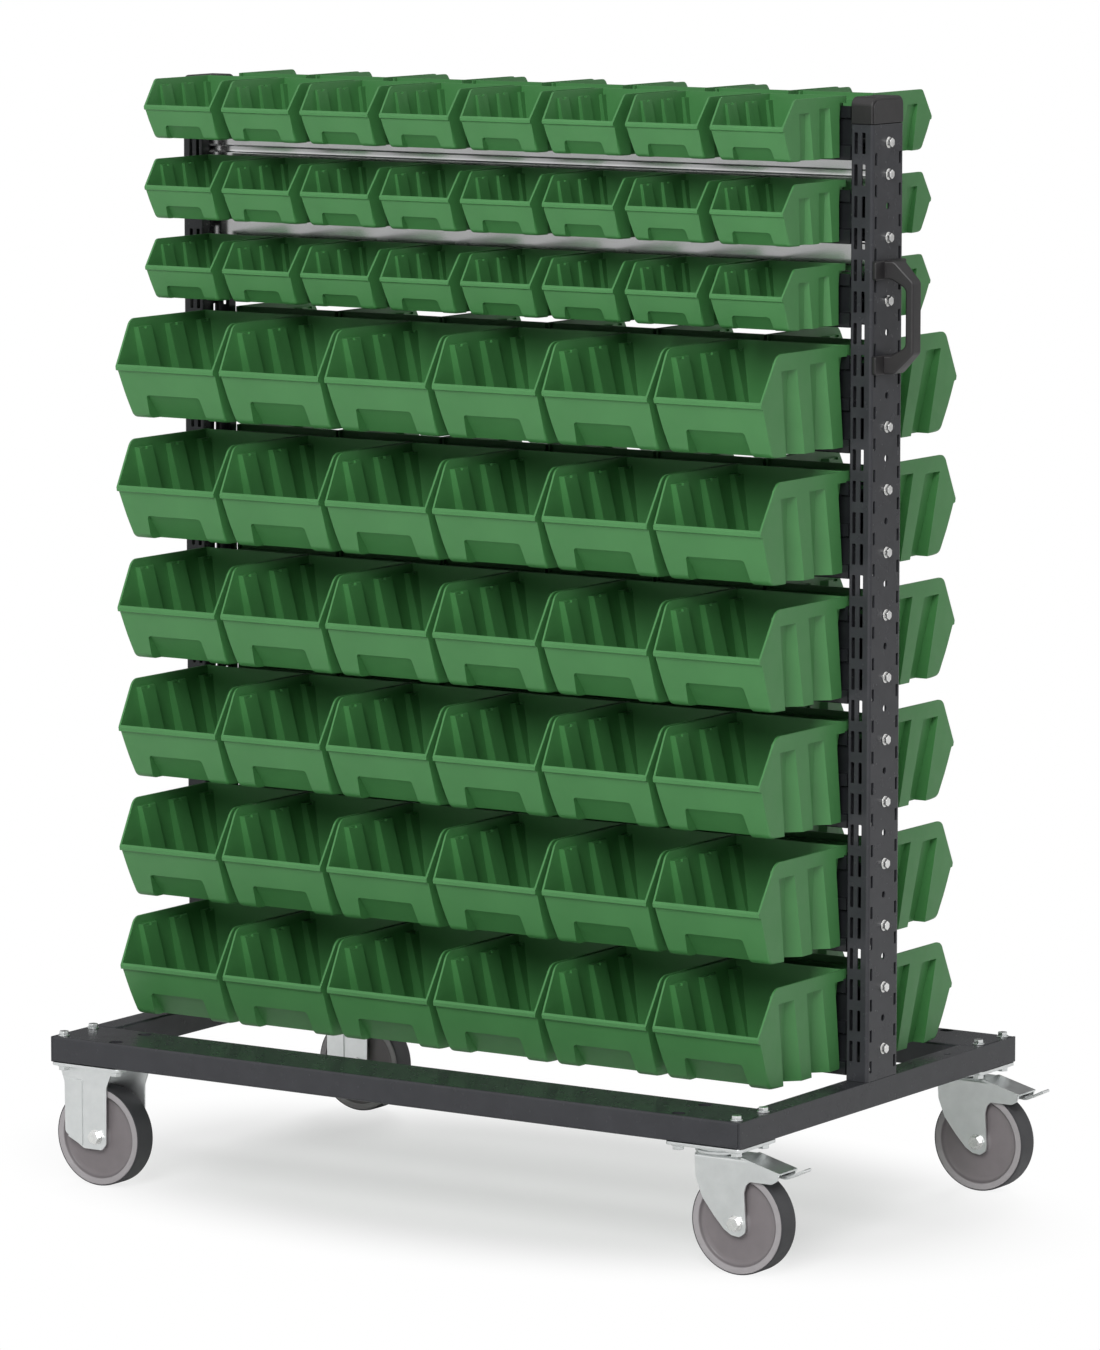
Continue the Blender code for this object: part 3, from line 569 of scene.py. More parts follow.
def hex_set(axis, direction, centre, seat, size=PLATE_NUT):
    """Washer and chamfered hexagon head standing on a seat along an axis."""
    height, radius, washer = size
    disc = eased(rod("Z", (0, 0), washer, 0.0, WASHER_SHEET, count=28), 0.35, 1)
    head = eased(rod("Z", (0, 0), radius, WASHER_SHEET, height, count=6), 0.7, 2)
    mesh = merged([disc, head])
    if direction < 0:
        mesh.transform(Matrix.Rotation(math.pi, 4, "X"))
    if axis == "X":
        mesh.transform(Matrix.Rotation(math.pi / 2, 4, "Y"))
        spot = (seat, centre[0], centre[1])
    elif axis == "Y":
        mesh.transform(Matrix.Rotation(-math.pi / 2, 4, "X"))
        spot = (centre[0], seat, centre[1])
    else:
        spot = (centre[0], centre[1], seat)
    mesh.transform(Matrix.Translation(spot))
    return mesh


def hole_level(index):
    return TOP_HOLE - HOLE_PITCH * index


def bolted_holes(sign):
    holes = {hole for group in RAIL_HOLES for hole in group} | set(CROSSBAR_HOLES)
    if sign > 0:
        holes -= set(HANDLE_HOLES)
    return sorted(holes)


def add_upright_bolts(looks):
    for label, sign in (("left", -1), ("right", 1)):
        seat = sign * (HALF_LENGTH + 0.05)
        sets = [
            hex_set("X", sign, (0.0, hole_level(k)), seat, UPRIGHT_BOLT)
            for k in bolted_holes(sign)
        ]
        mesh = ready(merged(sets), looks["zinc_bolt"])
        add(f"upright_bolts_{label}", mesh, "frame", "zinc_bolt")


# Base frame


def end_channel():
    """Rear channel, open below, with returned lips; the front one mirrors it."""
    outer = HALF_WIDTH
    inner = HALF_WIDTH - CHANNEL_WIDTH
    top = BASE_TOP
    low = BASE_LOW
    sheet = BASE_SHEET
    outline = [
        (outer, top),
        (outer, low),
        (outer - CHANNEL_LIP, low),
        (outer - CHANNEL_LIP, low + sheet),
        (outer - sheet, low + sheet),
        (outer - sheet, top - sheet),
        (inner + sheet, top - sheet),
        (inner + sheet, low + sheet),
        (inner + CHANNEL_LIP, low + sheet),
        (inner + CHANNEL_LIP, low),
        (inner, low),
        (inner, top),
    ]
    bends = {k: CHANNEL_BEND for k in (0, 1, 10, 11)}
    reach = HALF_LENGTH - BASE_SHEET - GAP
    mesh = prism(fillet(outline, bends, 5), "X", -reach, reach)
    holes = []
    for side in (-1, 1):
        for along in (-1, 1):
            x = side * CASTER_X + along * PLATE_BOLT_X
            radius = BOLT_BORE if along == side else ACCESS_BORE
            for across in (-PLATE_BOLT_Y, PLATE_BOLT_Y):
                spot = (x, CASTER_Y + across)
                holes.append(rod("Z", spot, radius, top - sheet - 2, top + 2))
                holes.append(
                    rod("Z", spot, BOLT_BORE, low - 2, low + sheet + 2, count=12)
                )
    return cut(mesh, *holes)


def side_channel():
    """Right channel, whose outer flange closes the corners."""
    outer = HALF_LENGTH
    inner = HALF_LENGTH - SIDE_WIDTH
    sheet = BASE_SHEET
    top = BASE_TOP
    low = BASE_LOW
    reach = HALF_WIDTH - CHANNEL_WIDTH - GAP
    outline = [
        (outer - sheet / 2, low),
        (outer - sheet / 2, top),
        (inner, top),
        (inner, low),
        (inner + sheet, low),
        (inner + sheet, top - sheet),
        (outer - sheet, top - sheet),
        (outer - sheet, low),
    ]
    channel = prism(fillet(outline, {2: CHANNEL_BEND}, 5), "Y", -reach, reach)
    face = rectangle((-HALF_WIDTH, HALF_WIDTH), (low, top))
    flange = prism(face, "X", outer - sheet, outer)
    mesh = joined(channel, flange)
    return cut(mesh, rod("Z", SIDE_HOLE, 4.0, top - 6, top + 2, count=16))


def add_base(looks):
    steel = looks["coated_steel"]
    channel = end_channel()
    side = eased(side_channel(), 0.9, 2)
    shapes = {
        "base_rear": channel,
        "base_front": mirrored(channel, "Y"),
        "base_right": side,
        "base_left": mirrored(side, "X"),
    }
    for name, mesh in shapes.items():
        add(f"{name}_channel", ready(mesh, steel, 30), "frame", "coated_steel", (name,))


# Uprights, caps and handle


def slot_outline(middle, half_sizes):
    """Outline of a slot with rounded corners."""
    (u, v), (wide, tall) = middle, half_sizes
    return fillet(rectangle((u - wide, u + wide), (v - tall, v + tall)), SLOT_ROUND, 2)


def upright():
    """Right upright: a C profile with slots in its flanges and its web."""
    outer = HALF_LENGTH
    inner = UPRIGHT_INNER
    sheet = UPRIGHT_SHEET
    half = UPRIGHT_HALF
    outline = [
        (outer, -half),
        (outer, half),
        (inner, half),
        (inner, UPRIGHT_LIP),
        (inner + sheet, UPRIGHT_LIP),
        (inner + sheet, half - sheet),
        (outer - sheet, half - sheet),
        (outer - sheet, sheet - half),
        (inner + sheet, sheet - half),
        (inner + sheet, -UPRIGHT_LIP),
        (inner, -UPRIGHT_LIP),
        (inner, -half),
    ]
    bends = {0: UPRIGHT_BEND, 1: UPRIGHT_BEND, 2: 2.5, 6: 2.0, 7: 2.0, 11: 2.5}
    low = BASE_TOP + GAP
    mesh = prism(fillet(outline, bends, 5), "Z", low, UPRIGHT_TOP)
    foot = box(
        (inner + sheet / 2, outer - sheet / 2),
        (sheet / 2 - half, half - sheet / 2),
        (low, low + BASE_SHEET),
    )
    mesh = joined(mesh, foot)
    slots = []
    for index in range(HOLE_COUNT):
        z = hole_level(index)
        for side in (-1, 1):
            for x in FLANGE_SLOTS_X:
                span = sorted((side * (half - 4), side * (half + 2)))
                slots.append(prism(slot_outline((x, z), FLANGE_SLOT), "Y", *span))
            middle = (side * WEB_SLOT_Y, z - HOLE_PITCH / 2)
            outline = slot_outline(middle, WEB_SLOT)
            slots.append(prism(outline, "X", outer - 4, outer + 2))
        slots.append(rod("X", (0.0, z), WEB_HOLE, outer - 4, outer + 2, count=16))
    return cut(mesh, *slots)


def cap():
    """Right cap: a rounded black block over the profile with a raised panel."""
    outer = HALF_LENGTH + CAP_LAP
    inner = UPRIGHT_INNER
    half = UPRIGHT_HALF + CAP_LAP
    low = UPRIGHT_TOP + GAP
    outline = fillet(
        rectangle((-half, half), (low, CAP_TOP)), {2: CAP_ROUND, 3: CAP_ROUND}, 8
    )
    body = eased(prism(outline, "X", inner, outer - 1.2), 1.6, 3)
    outline = fillet(
        rectangle((-half + 3, half - 3), (low + 0.5, CAP_TOP - 4)),
        {2: CAP_PANEL_ROUND, 3: CAP_PANEL_ROUND},
        8,
    )
    panel = prism(outline, "X", outer - 3, outer)
    return merged([body, eased(panel, 0.8, 2)])


def push_handle():
    """D handle on two wide feet, with slanted corners and a narrow grip."""
    face = HALF_LENGTH + GAP
    high = hole_level(HANDLE_HOLES[0]) + 11.0
    low = hole_level(HANDLE_HOLES[1]) - 11.0
    outer = HALF_LENGTH + HANDLE_OUT
    arm = face + HANDLE_ARM
    slant = outer - arm
    thick = HANDLE_THICK
    foot = HANDLE_FOOT
    root = face + 1
    outline = [
        (root, high),
        (arm, high),
        (outer, high - slant),
        (outer, low + slant),
        (arm, low),
        (root, low),
        (root, low + foot),
        (arm - 4, low + foot),
        (outer - thick, low + slant + 8),
        (outer - thick, high - slant - 8),
        (arm - 4, high - foot),
        (root, high - foot),
    ]
    bends = {1: 8.0, 2: 8.0, 3: 8.0, 4: 8.0, 7: 9.0, 8: 9.0, 9: 9.0, 10: 9.0}
    near, far = [], []
    for x, z in fillet(outline, bends, 5):
        share = min(1.0, max(0.0, (x - face) / HANDLE_TAPER))
        half = HANDLE_ROOT_HALF + (HANDLE_GRIP_HALF - HANDLE_ROOT_HALF) * share
        near.append((x, -half, z))
        far.append((x, half, z))
    bow = eased(loft(near, far), 2.6, 3, 50)
    feet = []
    for base in (low, high - foot):
        outline = rectangle((-UPRIGHT_HALF, UPRIGHT_HALF), (base, base + foot))
        plate = prism(fillet(outline, 2.5, 3), "X", face, face + HANDLE_FOOT_SHEET)
        feet.append(eased(plate, 1.2, 2))
    return merged([bow, *feet])


def add_uprights(looks):
    shape = upright()
    top = cap()
    for label, sign in (("left", -1), ("right", 1)):
        column = shape if sign > 0 else mirrored(shape, "X")
        block = top if sign > 0 else mirrored(top, "X")
        add(
            f"slotted_upright_{label}",
            ready(column, looks["coated_steel"], 30),
            "frame",
            "coated_steel",
            (f"upright_{label}",),
        )
        add(
            f"end_cap_{label}",
            ready(block, looks["black_plastic"]),
            "frame",
            "black_plastic",
            (f"cap_{label}",),
        )
    add(
        "d_handle",
        ready(push_handle(), looks["black_plastic"]),
        "frame",
        "black_plastic",
        ("push_handle",),
    )


# Crossbars and rails


def crossbar(index):
    """Bright bar on the centre plane with a groove along both faces."""
    level = hole_level(index)
    half = CROSSBAR_HALF
    tall = CROSSBAR_TALL
    groove = GROOVE_HALF
    deep = half - GROOVE_DEPTH
    outline = [
        (-half, level - tall),
        (half, level - tall),
        (half, level - groove),
        (deep, level - groove),
        (deep, level + groove),
        (half, level + groove),
        (half, level + tall),
        (-half, level + tall),
        (-half, level + groove),
        (-deep, level + groove),
        (-deep, level - groove),
        (-half, level - groove),
    ]
    reach = WEB_INNER - 2 * GAP - 3.0
    return prism(fillet(outline, 1.2, 3), "X", -reach, reach)


def rail(top, holes, ribs):
    """Double-sided rail of two ribbed sheets, a web and end straps."""
    low = top - ribs[-1][1]
    face = RAIL_FACE
    sheet = RAIL_SHEET
    step = RAIL_RIB_STEP
    set_back = face - RAIL_RECESS
    outer = []
    for k, (upper, lower) in enumerate(ribs):
        outer.append((face, top - upper))
        outer.append((face, top - lower))
        if k + 1 < len(ribs):
            outer.append((set_back, top - lower - step))
            outer.append((set_back, top - ribs[k + 1][0] + step))
    first = ribs[0][1]
    inner = [
        (RAIL_FLANGE, low),
        (RAIL_FLANGE, low + sheet),
        (set_back - sheet, low + sheet),
        (set_back - sheet, top - first + step),
        (face - sheet, top - first + 2 * step),
        (face - sheet, top),
    ]
    web_low = hole_level(holes[0]) - sheet / 2
    web_high = web_low + sheet
    half = outer + inner
    split = next(
        k
        for k in range(len(outer) + 2, len(half) - 1)
        if half[k][1] < web_low and web_high < half[k + 1][1]
    )
    side = half[split][0]
    below = half[: split + 1] + [(side, web_low)]
    above = [(side, web_high)] + half[split + 1 :]
    outline = above + below
    outline += [(-y, z) for y, z in reversed(below)]
    outline += [(-y, z) for y, z in reversed(above)]
    mesh = prism(fillet(outline, 1.3, 3), "X", -RAIL_REACH, RAIL_REACH)
    lowest = hole_level(holes[-1])
    straps = []
    for end in (-1, 1):
        tab_end = end * (WEB_INNER - GAP)
        straps.append(
            box(
                sorted((end * (RAIL_REACH - 6), tab_end)),
                (-STRAP_HALF, STRAP_HALF),
                (web_low - 0.5, web_high + 0.5),
            )
        )
        straps.append(
            box(
                sorted((tab_end - end * TAB_SHEET, tab_end)),
                (-TAB_HALF, TAB_HALF),
                (lowest - TAB_REACH, hole_level(holes[0]) + TAB_REACH),
            )
        )
    return joined(mesh, *straps)


def add_rails(looks):
    for label, index in zip(("upper", "lower"), CROSSBAR_HOLES):
        add(
            f"grooved_bar_{label}",
            ready(crossbar(index), looks["zinc_bar"], 35),
            "frame",
            "zinc_bar",
            (f"crossbar_{label}",),
        )
    for number in range(1, 10):
        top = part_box(f"bins_front_{number}")[1].z / MM - RAIL_DROP
        ribs = SMALL_RIBS if number <= 3 else LARGE_RIBS
        mesh = rail(top, RAIL_HOLES[number - 1], ribs)
        # The rails take the darker coat, which carries painted shade for the gaps between the
        # bin rows.
        add(
            f"ribbed_rail_{number}",
            ready(mesh, looks["coated_rail"], 35),
            "frame",
            "coated_rail",
            (f"rail_{number}",),
        )


# Bins


def crosswise(profile, half, soft=()):
    """Extrude a (reach, z) profile across X, drawing in towards the floor."""
    left, right = (
        [(sign * (half + DRAFT * z), y, z) for y, z in profile] for sign in (-1, 1)
    )
    shape = bridged(left, right)
    bmesh.ops.recalc_face_normals(shape, faces=shape.faces)
    if soft:
        low, high, width = soft
        edges = []
        for edge in shape.edges:
            first, last = (vertex.co for vertex in edge.verts)
            same_side = first.x * last.x > 0
            if same_side and all(p.y > low and p.z < high for p in (first, last)):
                edges.append(edge)
        bmesh.ops.bevel(
            shape, geom=edges, offset=width, segments=4, profile=0.5, affect="EDGES"
        )
    return finished(shape)


def flute(side, half, front, rear, depth, top, low, grow, lap):
    """Wedge along a side wall; pairs are values at its top and at the floor."""
    outlines = []
    span = top[1] - low[1]
    for z in (low[0], top[0]):
        share = (top[1] - z) / span
        wall_x = half + DRAFT * z
        y_front = front[0] + (front[1] - front[0]) * share + grow
        y_rear = rear[0] + (rear[1] - rear[0]) * share - grow * 0.4
        deep = depth[0] + (depth[1] - depth[0]) * share + grow
        start = wall_x + lap
        outlines.append(
            [
                (side * start, y_front, z),
                (side * (wall_x - deep), y_front, z),
                (side * (wall_x - deep), y_rear + deep, z),
                (side * start, y_rear - lap, z),
            ]
        )
    return loft(*outlines)


def clipped(mesh, low):
    """The part of a rib in front of the bin's back wall plane."""
    shape = bmesh.new()
    shape.from_mesh(mesh)
    geometry = list(shape.verts) + list(shape.edges) + list(shape.faces)
    bmesh.ops.bisect_plane(
        shape,
        geom=geometry,
        plane_co=(0.0, low, 0.0),
        plane_no=(0.0, -1.0, 0.0),
        clear_outer=True,
    )
    bmesh.ops.holes_fill(shape, edges=shape.edges)
    return finished(shape)


def bin_mesh(size):
    """One bin with its rim at z = 0 and its back at y = 0, opening to +Y."""
    half = size["half"]
    high = size["height"]
    tip_y, tip_z = size["lip"]
    floor_y = size["floor"]
    rim_y = size["rim"]
    under_y = tip_y - size["bead"]
    under_z = tip_z - size["bead_height"]
    outside = [
        (0.0, -high),
        (0.0, 0.0),
        (rim_y, 0.0),
        (tip_y, tip_z),
        (tip_y - 0.6, under_z + 0.4),
        (under_y, under_z - 0.6),
        (floor_y, -high),
    ]
    rounds = {2: size["rim_round"], 3: 1.4, 4: 1.0, 5: 0.6, 6: size["floor_round"]}
    lean = (under_y - floor_y) / (under_z + high)
    across = WALL * math.hypot(1.0, lean)
    outer = crosswise(
        fillet(outside, rounds, 6), half, (floor_y - 25.0, under_z - 2.0, 3.6)
    )

    def inner_wall(z):
        return floor_y + lean * (z + high) - across

    lip_top = tip_z + size["lip_rise"]
    inside = [
        (WALL, WALL - high),
        (WALL, 8.0),
        (tip_y + 12.0, 8.0),
        (tip_y + 12.0, lip_top),
        (inner_wall(lip_top), lip_top),
        (inner_wall(WALL - high), WALL - high),
    ]
    rounds = {0: 3.0, 4: 0.8, 5: max(2.0, size["floor_round"] - WALL)}
    shell = cut(outer, crosswise(fillet(inside, rounds, 5), half - WALL))

    ribs = []
    hollows = []
    notches = []
    panel_top = -size["panel_top"]
    wide = size["notch"]
    edge = half - size["depth"][0] - WALL
    for front, rear, top in size["flutes"]:
        for side in (-1, 1):
            wall = (side, half, front, rear, size["depth"])
            rib = flute(*wall, (panel_top, top), (1.0 - high, -high), WALL, -WALL * 0.5)
            ribs.append(clipped(rib, WALL * 0.2))
            hollows.append(flute(*wall, (top, top), (-2.0 - high, -high), 0.0, 2.0))
            middle = front[0] - size["notch_back"]
            if middle - wide > WALL:
                notches.append(
                    box(
                        sorted((side * (edge - 4.0), side * (edge + 3.0))),
                        (middle - wide, middle + wide),
                        (panel_top - wide * 0.55, panel_top + 2.0),
                    )
                )
    grip_top, grip_low, grip_high = size["grip"]
    back_low = floor_y - size["grip_set"]
    back_top = inner_wall(-high + grip_high) - 1.0
    slant = (back_top - back_low) / grip_high

    def grip_block(outline, shift, end):
        return loft(
            [(x, back_low + slant * (z + high) - shift, z) for x, z in outline],
            [(x, end, z) for x, z in outline],
        )

    bump = grip_block(
        [
            (-grip_top - WALL, -high + grip_high + WALL),
            (grip_top + WALL, -high + grip_high + WALL),
            (grip_low + WALL, -high + 1.0),
            (-grip_low - WALL, -high + 1.0),
        ],
        WALL * math.hypot(1.0, slant),
        inner_wall(-high + grip_high) + 4.0,
    )
    kept = crosswise(fillet(outside, {6: size["floor_round"]}, 6), half - 1.0)
    bump = combined(bump, [kept], "INTERSECT")
    recess = grip_block(
        fillet(
            [
                (-grip_low, -high - 3.0),
                (-grip_top, -high + grip_high),
                (grip_top, -high + grip_high),
                (grip_low, -high - 3.0),
            ],
            {1: 4.0, 2: 4.0},
            4,
        ),
        0.0,
        tip_y + 5.0,
    )
    hook = prism(
        [
            (WALL / 2, -RAIL_DROP + GAP),
            (WALL / 2, -8.3),
            (-6.0, -8.3),
            (-6.0, -20.0),
            (-2.6, -20.0),
            (-2.6, -RAIL_DROP + GAP),
        ],
        "X",
        -(half - 1.2),
        half - 1.2,
    )
    ears = [
        box(
            sorted((side * (half - WALL), side * (half - 0.3))),
            (-6.0, 1.0),
            (-RAIL_DROP + GAP, -0.1),
        )
        for side in (-1, 1)
    ]
    mesh = joined(shell, *ribs, bump, hook, *ears)
    mesh = cut(mesh, *hollows, recess, *notches)
    return eased(mesh, 0.55, 2, 34)


def add_bins(looks):
    for size in (SMALL, LARGE):
        mesh = ready(bin_mesh(size), looks["green_plastic"], 40)
        for row in size["rows"]:
            for label, sign in (("front", -1), ("rear", 1)):
                node = f"bins_{label}_{row}"
                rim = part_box(node)[1].z / MM
                for index in range(size["count"]):
                    x = (index - (size["count"] - 1) / 2) * size["pitch"]
                    add(
                        f"bin_{label}_{row}_{index + 1}",
                        mesh,
                        f"bin_row_{label}_{row}",
                        "green_plastic",
                        (node,) if index == 0 else (),
                        (x, sign * BIN_BACK, rim),
                        0.0 if sign > 0 else math.pi,
                    )


# Casters


def plate_bolts(centre, outward):
    """Heads above the plate's bolts and nuts below them."""
    cx, cy = centre
    sets = []
    for along in (-1, 1):
        for across in (-1, 1):
            spot = (cx + along * PLATE_BOLT_X, cy + across * PLATE_BOLT_Y)
            seat = BASE_TOP + 0.05 if along == outward else BASE_LOW + BASE_SHEET + GAP
            sets.append(hex_set("Z", 1, spot, seat, BASE_BOLT))
            sets.append(hex_set("Z", -1, spot, PLATE_BOTTOM))
            sets.append(rod("Z", spot, 4.0, PLATE_BOTTOM + 0.5, seat + 2.0, count=16))
    return sets


def mounting_plate(centre):
    outline = rectangle(
        *((middle - half, middle + half) for middle, half in zip(centre, PLATE_HALF))
    )
    return eased(prism(fillet(outline, 7.0, 5), "Z", PLATE_BOTTOM, PLATE_TOP), 0.6, 2)


def swivel_plate(centre):
    """Top plate with the swivel's race, pin and nut below it."""
    race = turned(
        [
            (8.0, CROWN_TOP + GAP),
            (28.0, CROWN_TOP + GAP),
            (30.0, CROWN_TOP + 2.0),
            (30.0, CROWN_TOP + 4.4),
            (27.6, CROWN_TOP + 5.2),
            (27.6, CROWN_TOP + 6.4),
            (29.6, CROWN_TOP + 7.2),
            (29.6, PLATE_BOTTOM + 1.0),
            (8.0, PLATE_BOTTOM + 1.0),
        ],
        "Z",
        48,
        centre,
    )
    pin = rod("Z", centre, 7.0, CROWN_TOP - 8.0, PLATE_BOTTOM, count=20)
    nut = eased(rod("Z", centre, 12.0, 132.0, 138.7, count=6), 0.7, 2)
    return merged([mounting_plate(centre), race, pin, nut, *plate_bolts(centre, 1)])


def folded(middle, top, low, bend):
    """Upside-down U across Y: a sheet bent into a crown and two legs."""
    sheet = LEG_OUTER - LEG_INNER
    outline = [
        (middle - LEG_OUTER, low),
        (middle - LEG_OUTER, top),
        (middle + LEG_OUTER, top),
        (middle + LEG_OUTER, low),
        (middle + LEG_INNER, low),
        (middle + LEG_INNER, top - sheet),
        (middle - LEG_INNER, top - sheet),
        (middle - LEG_INNER, low),
    ]
    return fillet(outline, {1: bend, 2: bend, 5: bend - sheet, 6: bend - sheet}, 5)


def swivel_fork(centre):
    """Bent fork cut to its side outline, with the brake's sloping cover."""
    cx, cy = centre
    axle_x = cx + WHEEL_TRAIL
    axle_z = WHEEL_RADIUS
    top = CROWN_TOP
    side = [
        (axle_x - 56, top + 2),
        (axle_x - 56, top - 0.5),
        (axle_x - 54, top - 29.5),
        (axle_x - 45, axle_z + 27),
        (axle_x - 29, axle_z + 7),
        (axle_x - 15, axle_z - 8),
        (axle_x - 5, axle_z - 14),
        (axle_x + 6, axle_z - 15.5),
        (axle_x + 14, axle_z - 10),
        (axle_x + 15, axle_z - 3),
        (axle_x + 12.5, axle_z + 38),
        (axle_x + 15, top - 32.5),
        (axle_x + 20, top - 27.5),
        (axle_x + 50, top - 27.5),
        (axle_x + 57, top - 23.5),
        (axle_x + 61, top - 13.5),
        (axle_x + 10, top - 0.5),
        (axle_x + 10, top + 2),
    ]
    side = fillet(side, {k: 6.0 for k in range(2, 16)}, 4)
    channel = prism(folded(cy, top, 40.0, 5.0), "X", cx - 40, cx + 100)
    mask = prism(side, "Y", cy - 30.0, cy + 30.0)
    fork = combined(channel, [mask], "INTERSECT")
    cover = prism(
        [
            (axle_x + 8, top),
            (axle_x + 10, top),
            (axle_x + 61, top - 13.5),
            (axle_x + 60.5, top - 15.7),
            (axle_x + 10, top - 2.2),
            (axle_x + 8, top - 2.2),
        ],
        "Y",
        cy - LEG_OUTER,
        cy + LEG_OUTER,
    )
    fork = joined(fork, cover)
    bore = rod("Z", centre, 7.3, top - 6, top + 2)
    axle_bore = rod("Y", (axle_x, axle_z), AXLE_BORE, cy - 25.0, cy + 25.0)
    return eased(cut(fork, bore, axle_bore), 0.5, 2, 40)


def fixed_fork(centre):
    """Two legs with a raised swage, welded below a bolted plate."""
    cx, cy = centre
    axle_z = WHEEL_RADIUS
    top = PLATE_BOTTOM + 1
    leg = [
        (cx - 54.0, top),
        (cx - 53.5, top - 8.0),
        (cx - 47.5, top - 25.0),
        (cx - 47.0, axle_z + 2.0),
        (cx - 18.0, axle_z - 16.0),
        (cx + 10.0, axle_z - 16.0),
        (cx + 16.5, axle_z - 8.0),
        (cx + 17.0, top - 27.0),
        (cx + 22.0, top - 15.0),
        (cx + 29.0, top),
    ]
    leg = fillet(leg, {k: 6.0 for k in range(1, 9)}, 4)
    legs = []
    for side in (-1, 1):
        outline = leg if side < 0 else [(2 * cx - x, z) for x, z in leg]
        span = sorted((cy + side * LEG_INNER, cy + side * LEG_OUTER))
        sheet = prism(outline, "Y", *span)
        swage = prism(
            [
                (cx + side * 41.0, axle_z - 3.0),
                (cx + side * 19.5, axle_z - 13.0),
                (cx + side * 19.5, top - 20.0),
                (cx + side * 41.0, top - 20.0),
            ],
            "Y",
            *sorted((cy + side * (LEG_OUTER - 1.0), cy + side * (LEG_OUTER + 1.6))),
        )
        sheet = joined(sheet, swage)
        bore = rod("Y", (cx, axle_z), AXLE_BORE, span[0] - 2, span[1] + 2)
        legs.append(eased(cut(sheet, bore), 0.5, 2, 40))
    return merged([mounting_plate(centre), *legs, *plate_bolts(centre, -1)])


def axle(centre):
    cx, cy, cz = centre
    out = LEG_OUTER + 0.05
    shank = rod("Y", (cx, cz), 5.0, cy - out - 2, cy + out + 2)
    head = hex_set("Y", -1, (cx, cz), cy - out, AXLE_HEAD)
    nut = hex_set("Y", 1, (cx, cz), cy + out, AXLE_NUT)
    return merged([shank, head, nut])


def tyre():
    half = WHEEL_HALF
    radius = WHEEL_RADIUS
    profile = [
        (radius - 6.5, -half + 4.0),
        (radius - 1.5, -half + 4.0),
        (radius - 1.5, -half + 0.4),
        (radius - 0.9, -half + 0.2),
        (radius - 0.3, -half + 1.6),
        (radius - 0.05, -half + 4.0),
        (radius, 0.0),
        (radius - 0.05, half - 4.0),
        (radius - 0.3, half - 1.6),
        (radius - 0.9, half - 0.2),
        (radius - 1.5, half - 0.4),
        (radius - 1.5, half - 4.0),
        (radius - 6.5, half - 4.0),
    ]
    return turned(profile, "Y", 96)


def hub():
    half = WHEEL_HALF
    radius = WHEEL_RADIUS
    flange = radius - 1.7
    seat = radius - 6.8
    side = [
        (AXLE_BORE, 17.7),
        (11.5, 17.7),
        (13.0, 17.0),
        (14.5, 14.0),
        (20.0, 12.0),
        (44.0, 10.6),
        (49.5, 11.0),
        (51.6, 12.4),
        (52.6, half - 1.2),
        (53.6, half - 0.2),
        (60.0, half),
        (flange - 0.2, half - 0.4),
        (flange, half - 1.0),
        (flange, half - 3.7),
        (seat, half - 3.7),
    ]
    other = [(r, -y) for r, y in reversed(side)]
    return turned(side + other, "Y", 96)


def pedal(centre):
    x = centre[0] + WHEEL_TRAIL + 38
    y = centre[1]
    z = CROWN_TOP - 16.5
    outline = [
        (x - 8, z - 3),
        (x + 25, z - 6),
        (x + 50, z + 5.5),
        (x + 49, z + 9.0),
        (x + 28, z - 1.5),
        (x - 8, z + 2),
    ]
    outline = fillet(outline, {0: 1.5, 1: 14.0, 2: 1.5, 3: 1.5, 4: 10.0, 5: 1.5}, 4)
    lever = eased(prism(outline, "Y", y - 8.0, y + 8.0), 0.8, 2, 50)
    pin = rod("Y", (x, z), 3.0, y - 17.7, y + 17.7, count=20)
    return merged([lever, pin])


def add_casters(looks):
    """Swivel casters at the handle's end and fixed ones at the other."""
    for label, side in (("front", -1), ("rear", 1)):
        y = side * CASTER_Y
        for kind, sign in (("swivel", 1), ("fixed", -1)):
            name = f"{kind}_{label}"
            wheel = f"{name}_wheel"
            centre = (sign * CASTER_X, y)
            if kind == "swivel":
                carrier = name
                axis = (centre[0] + WHEEL_TRAIL, y, WHEEL_RADIUS)
                pieces = [
                    ("top_plate", swivel_plate(centre), "frame", "zinc_caster", "plate"),
                    ("pressed_fork", swivel_fork(centre), name, "zinc_caster", "fork"),
                    ("brake_pedal", pedal(centre), f"{name}_brake", "zinc_caster", "pedal"),
                ]
            else:
                carrier = "frame"
                axis = (centre[0], y, WHEEL_RADIUS)
                pieces = [
                    ("pressed_fork", fixed_fork(centre), "frame", "zinc_caster", "fork")
                ]
            pieces.append(("axle_bolt", axle(axis), carrier, "zinc_bolt", "axle"))
            pieces.append(("wheel_centre", hub(), wheel, "grey_hub", "hub", axis))
            pieces.append(("wheel_tread", tyre(), wheel, "tread", "tyre", axis))
            for piece, mesh, body, slot_name, node, *at in pieces:
                shape = ready(mesh, looks[slot_name])
                add(f"{name}_{piece}", shape, body, slot_name, (f"{name}_{node}",), *at)


# Floor, light and camera


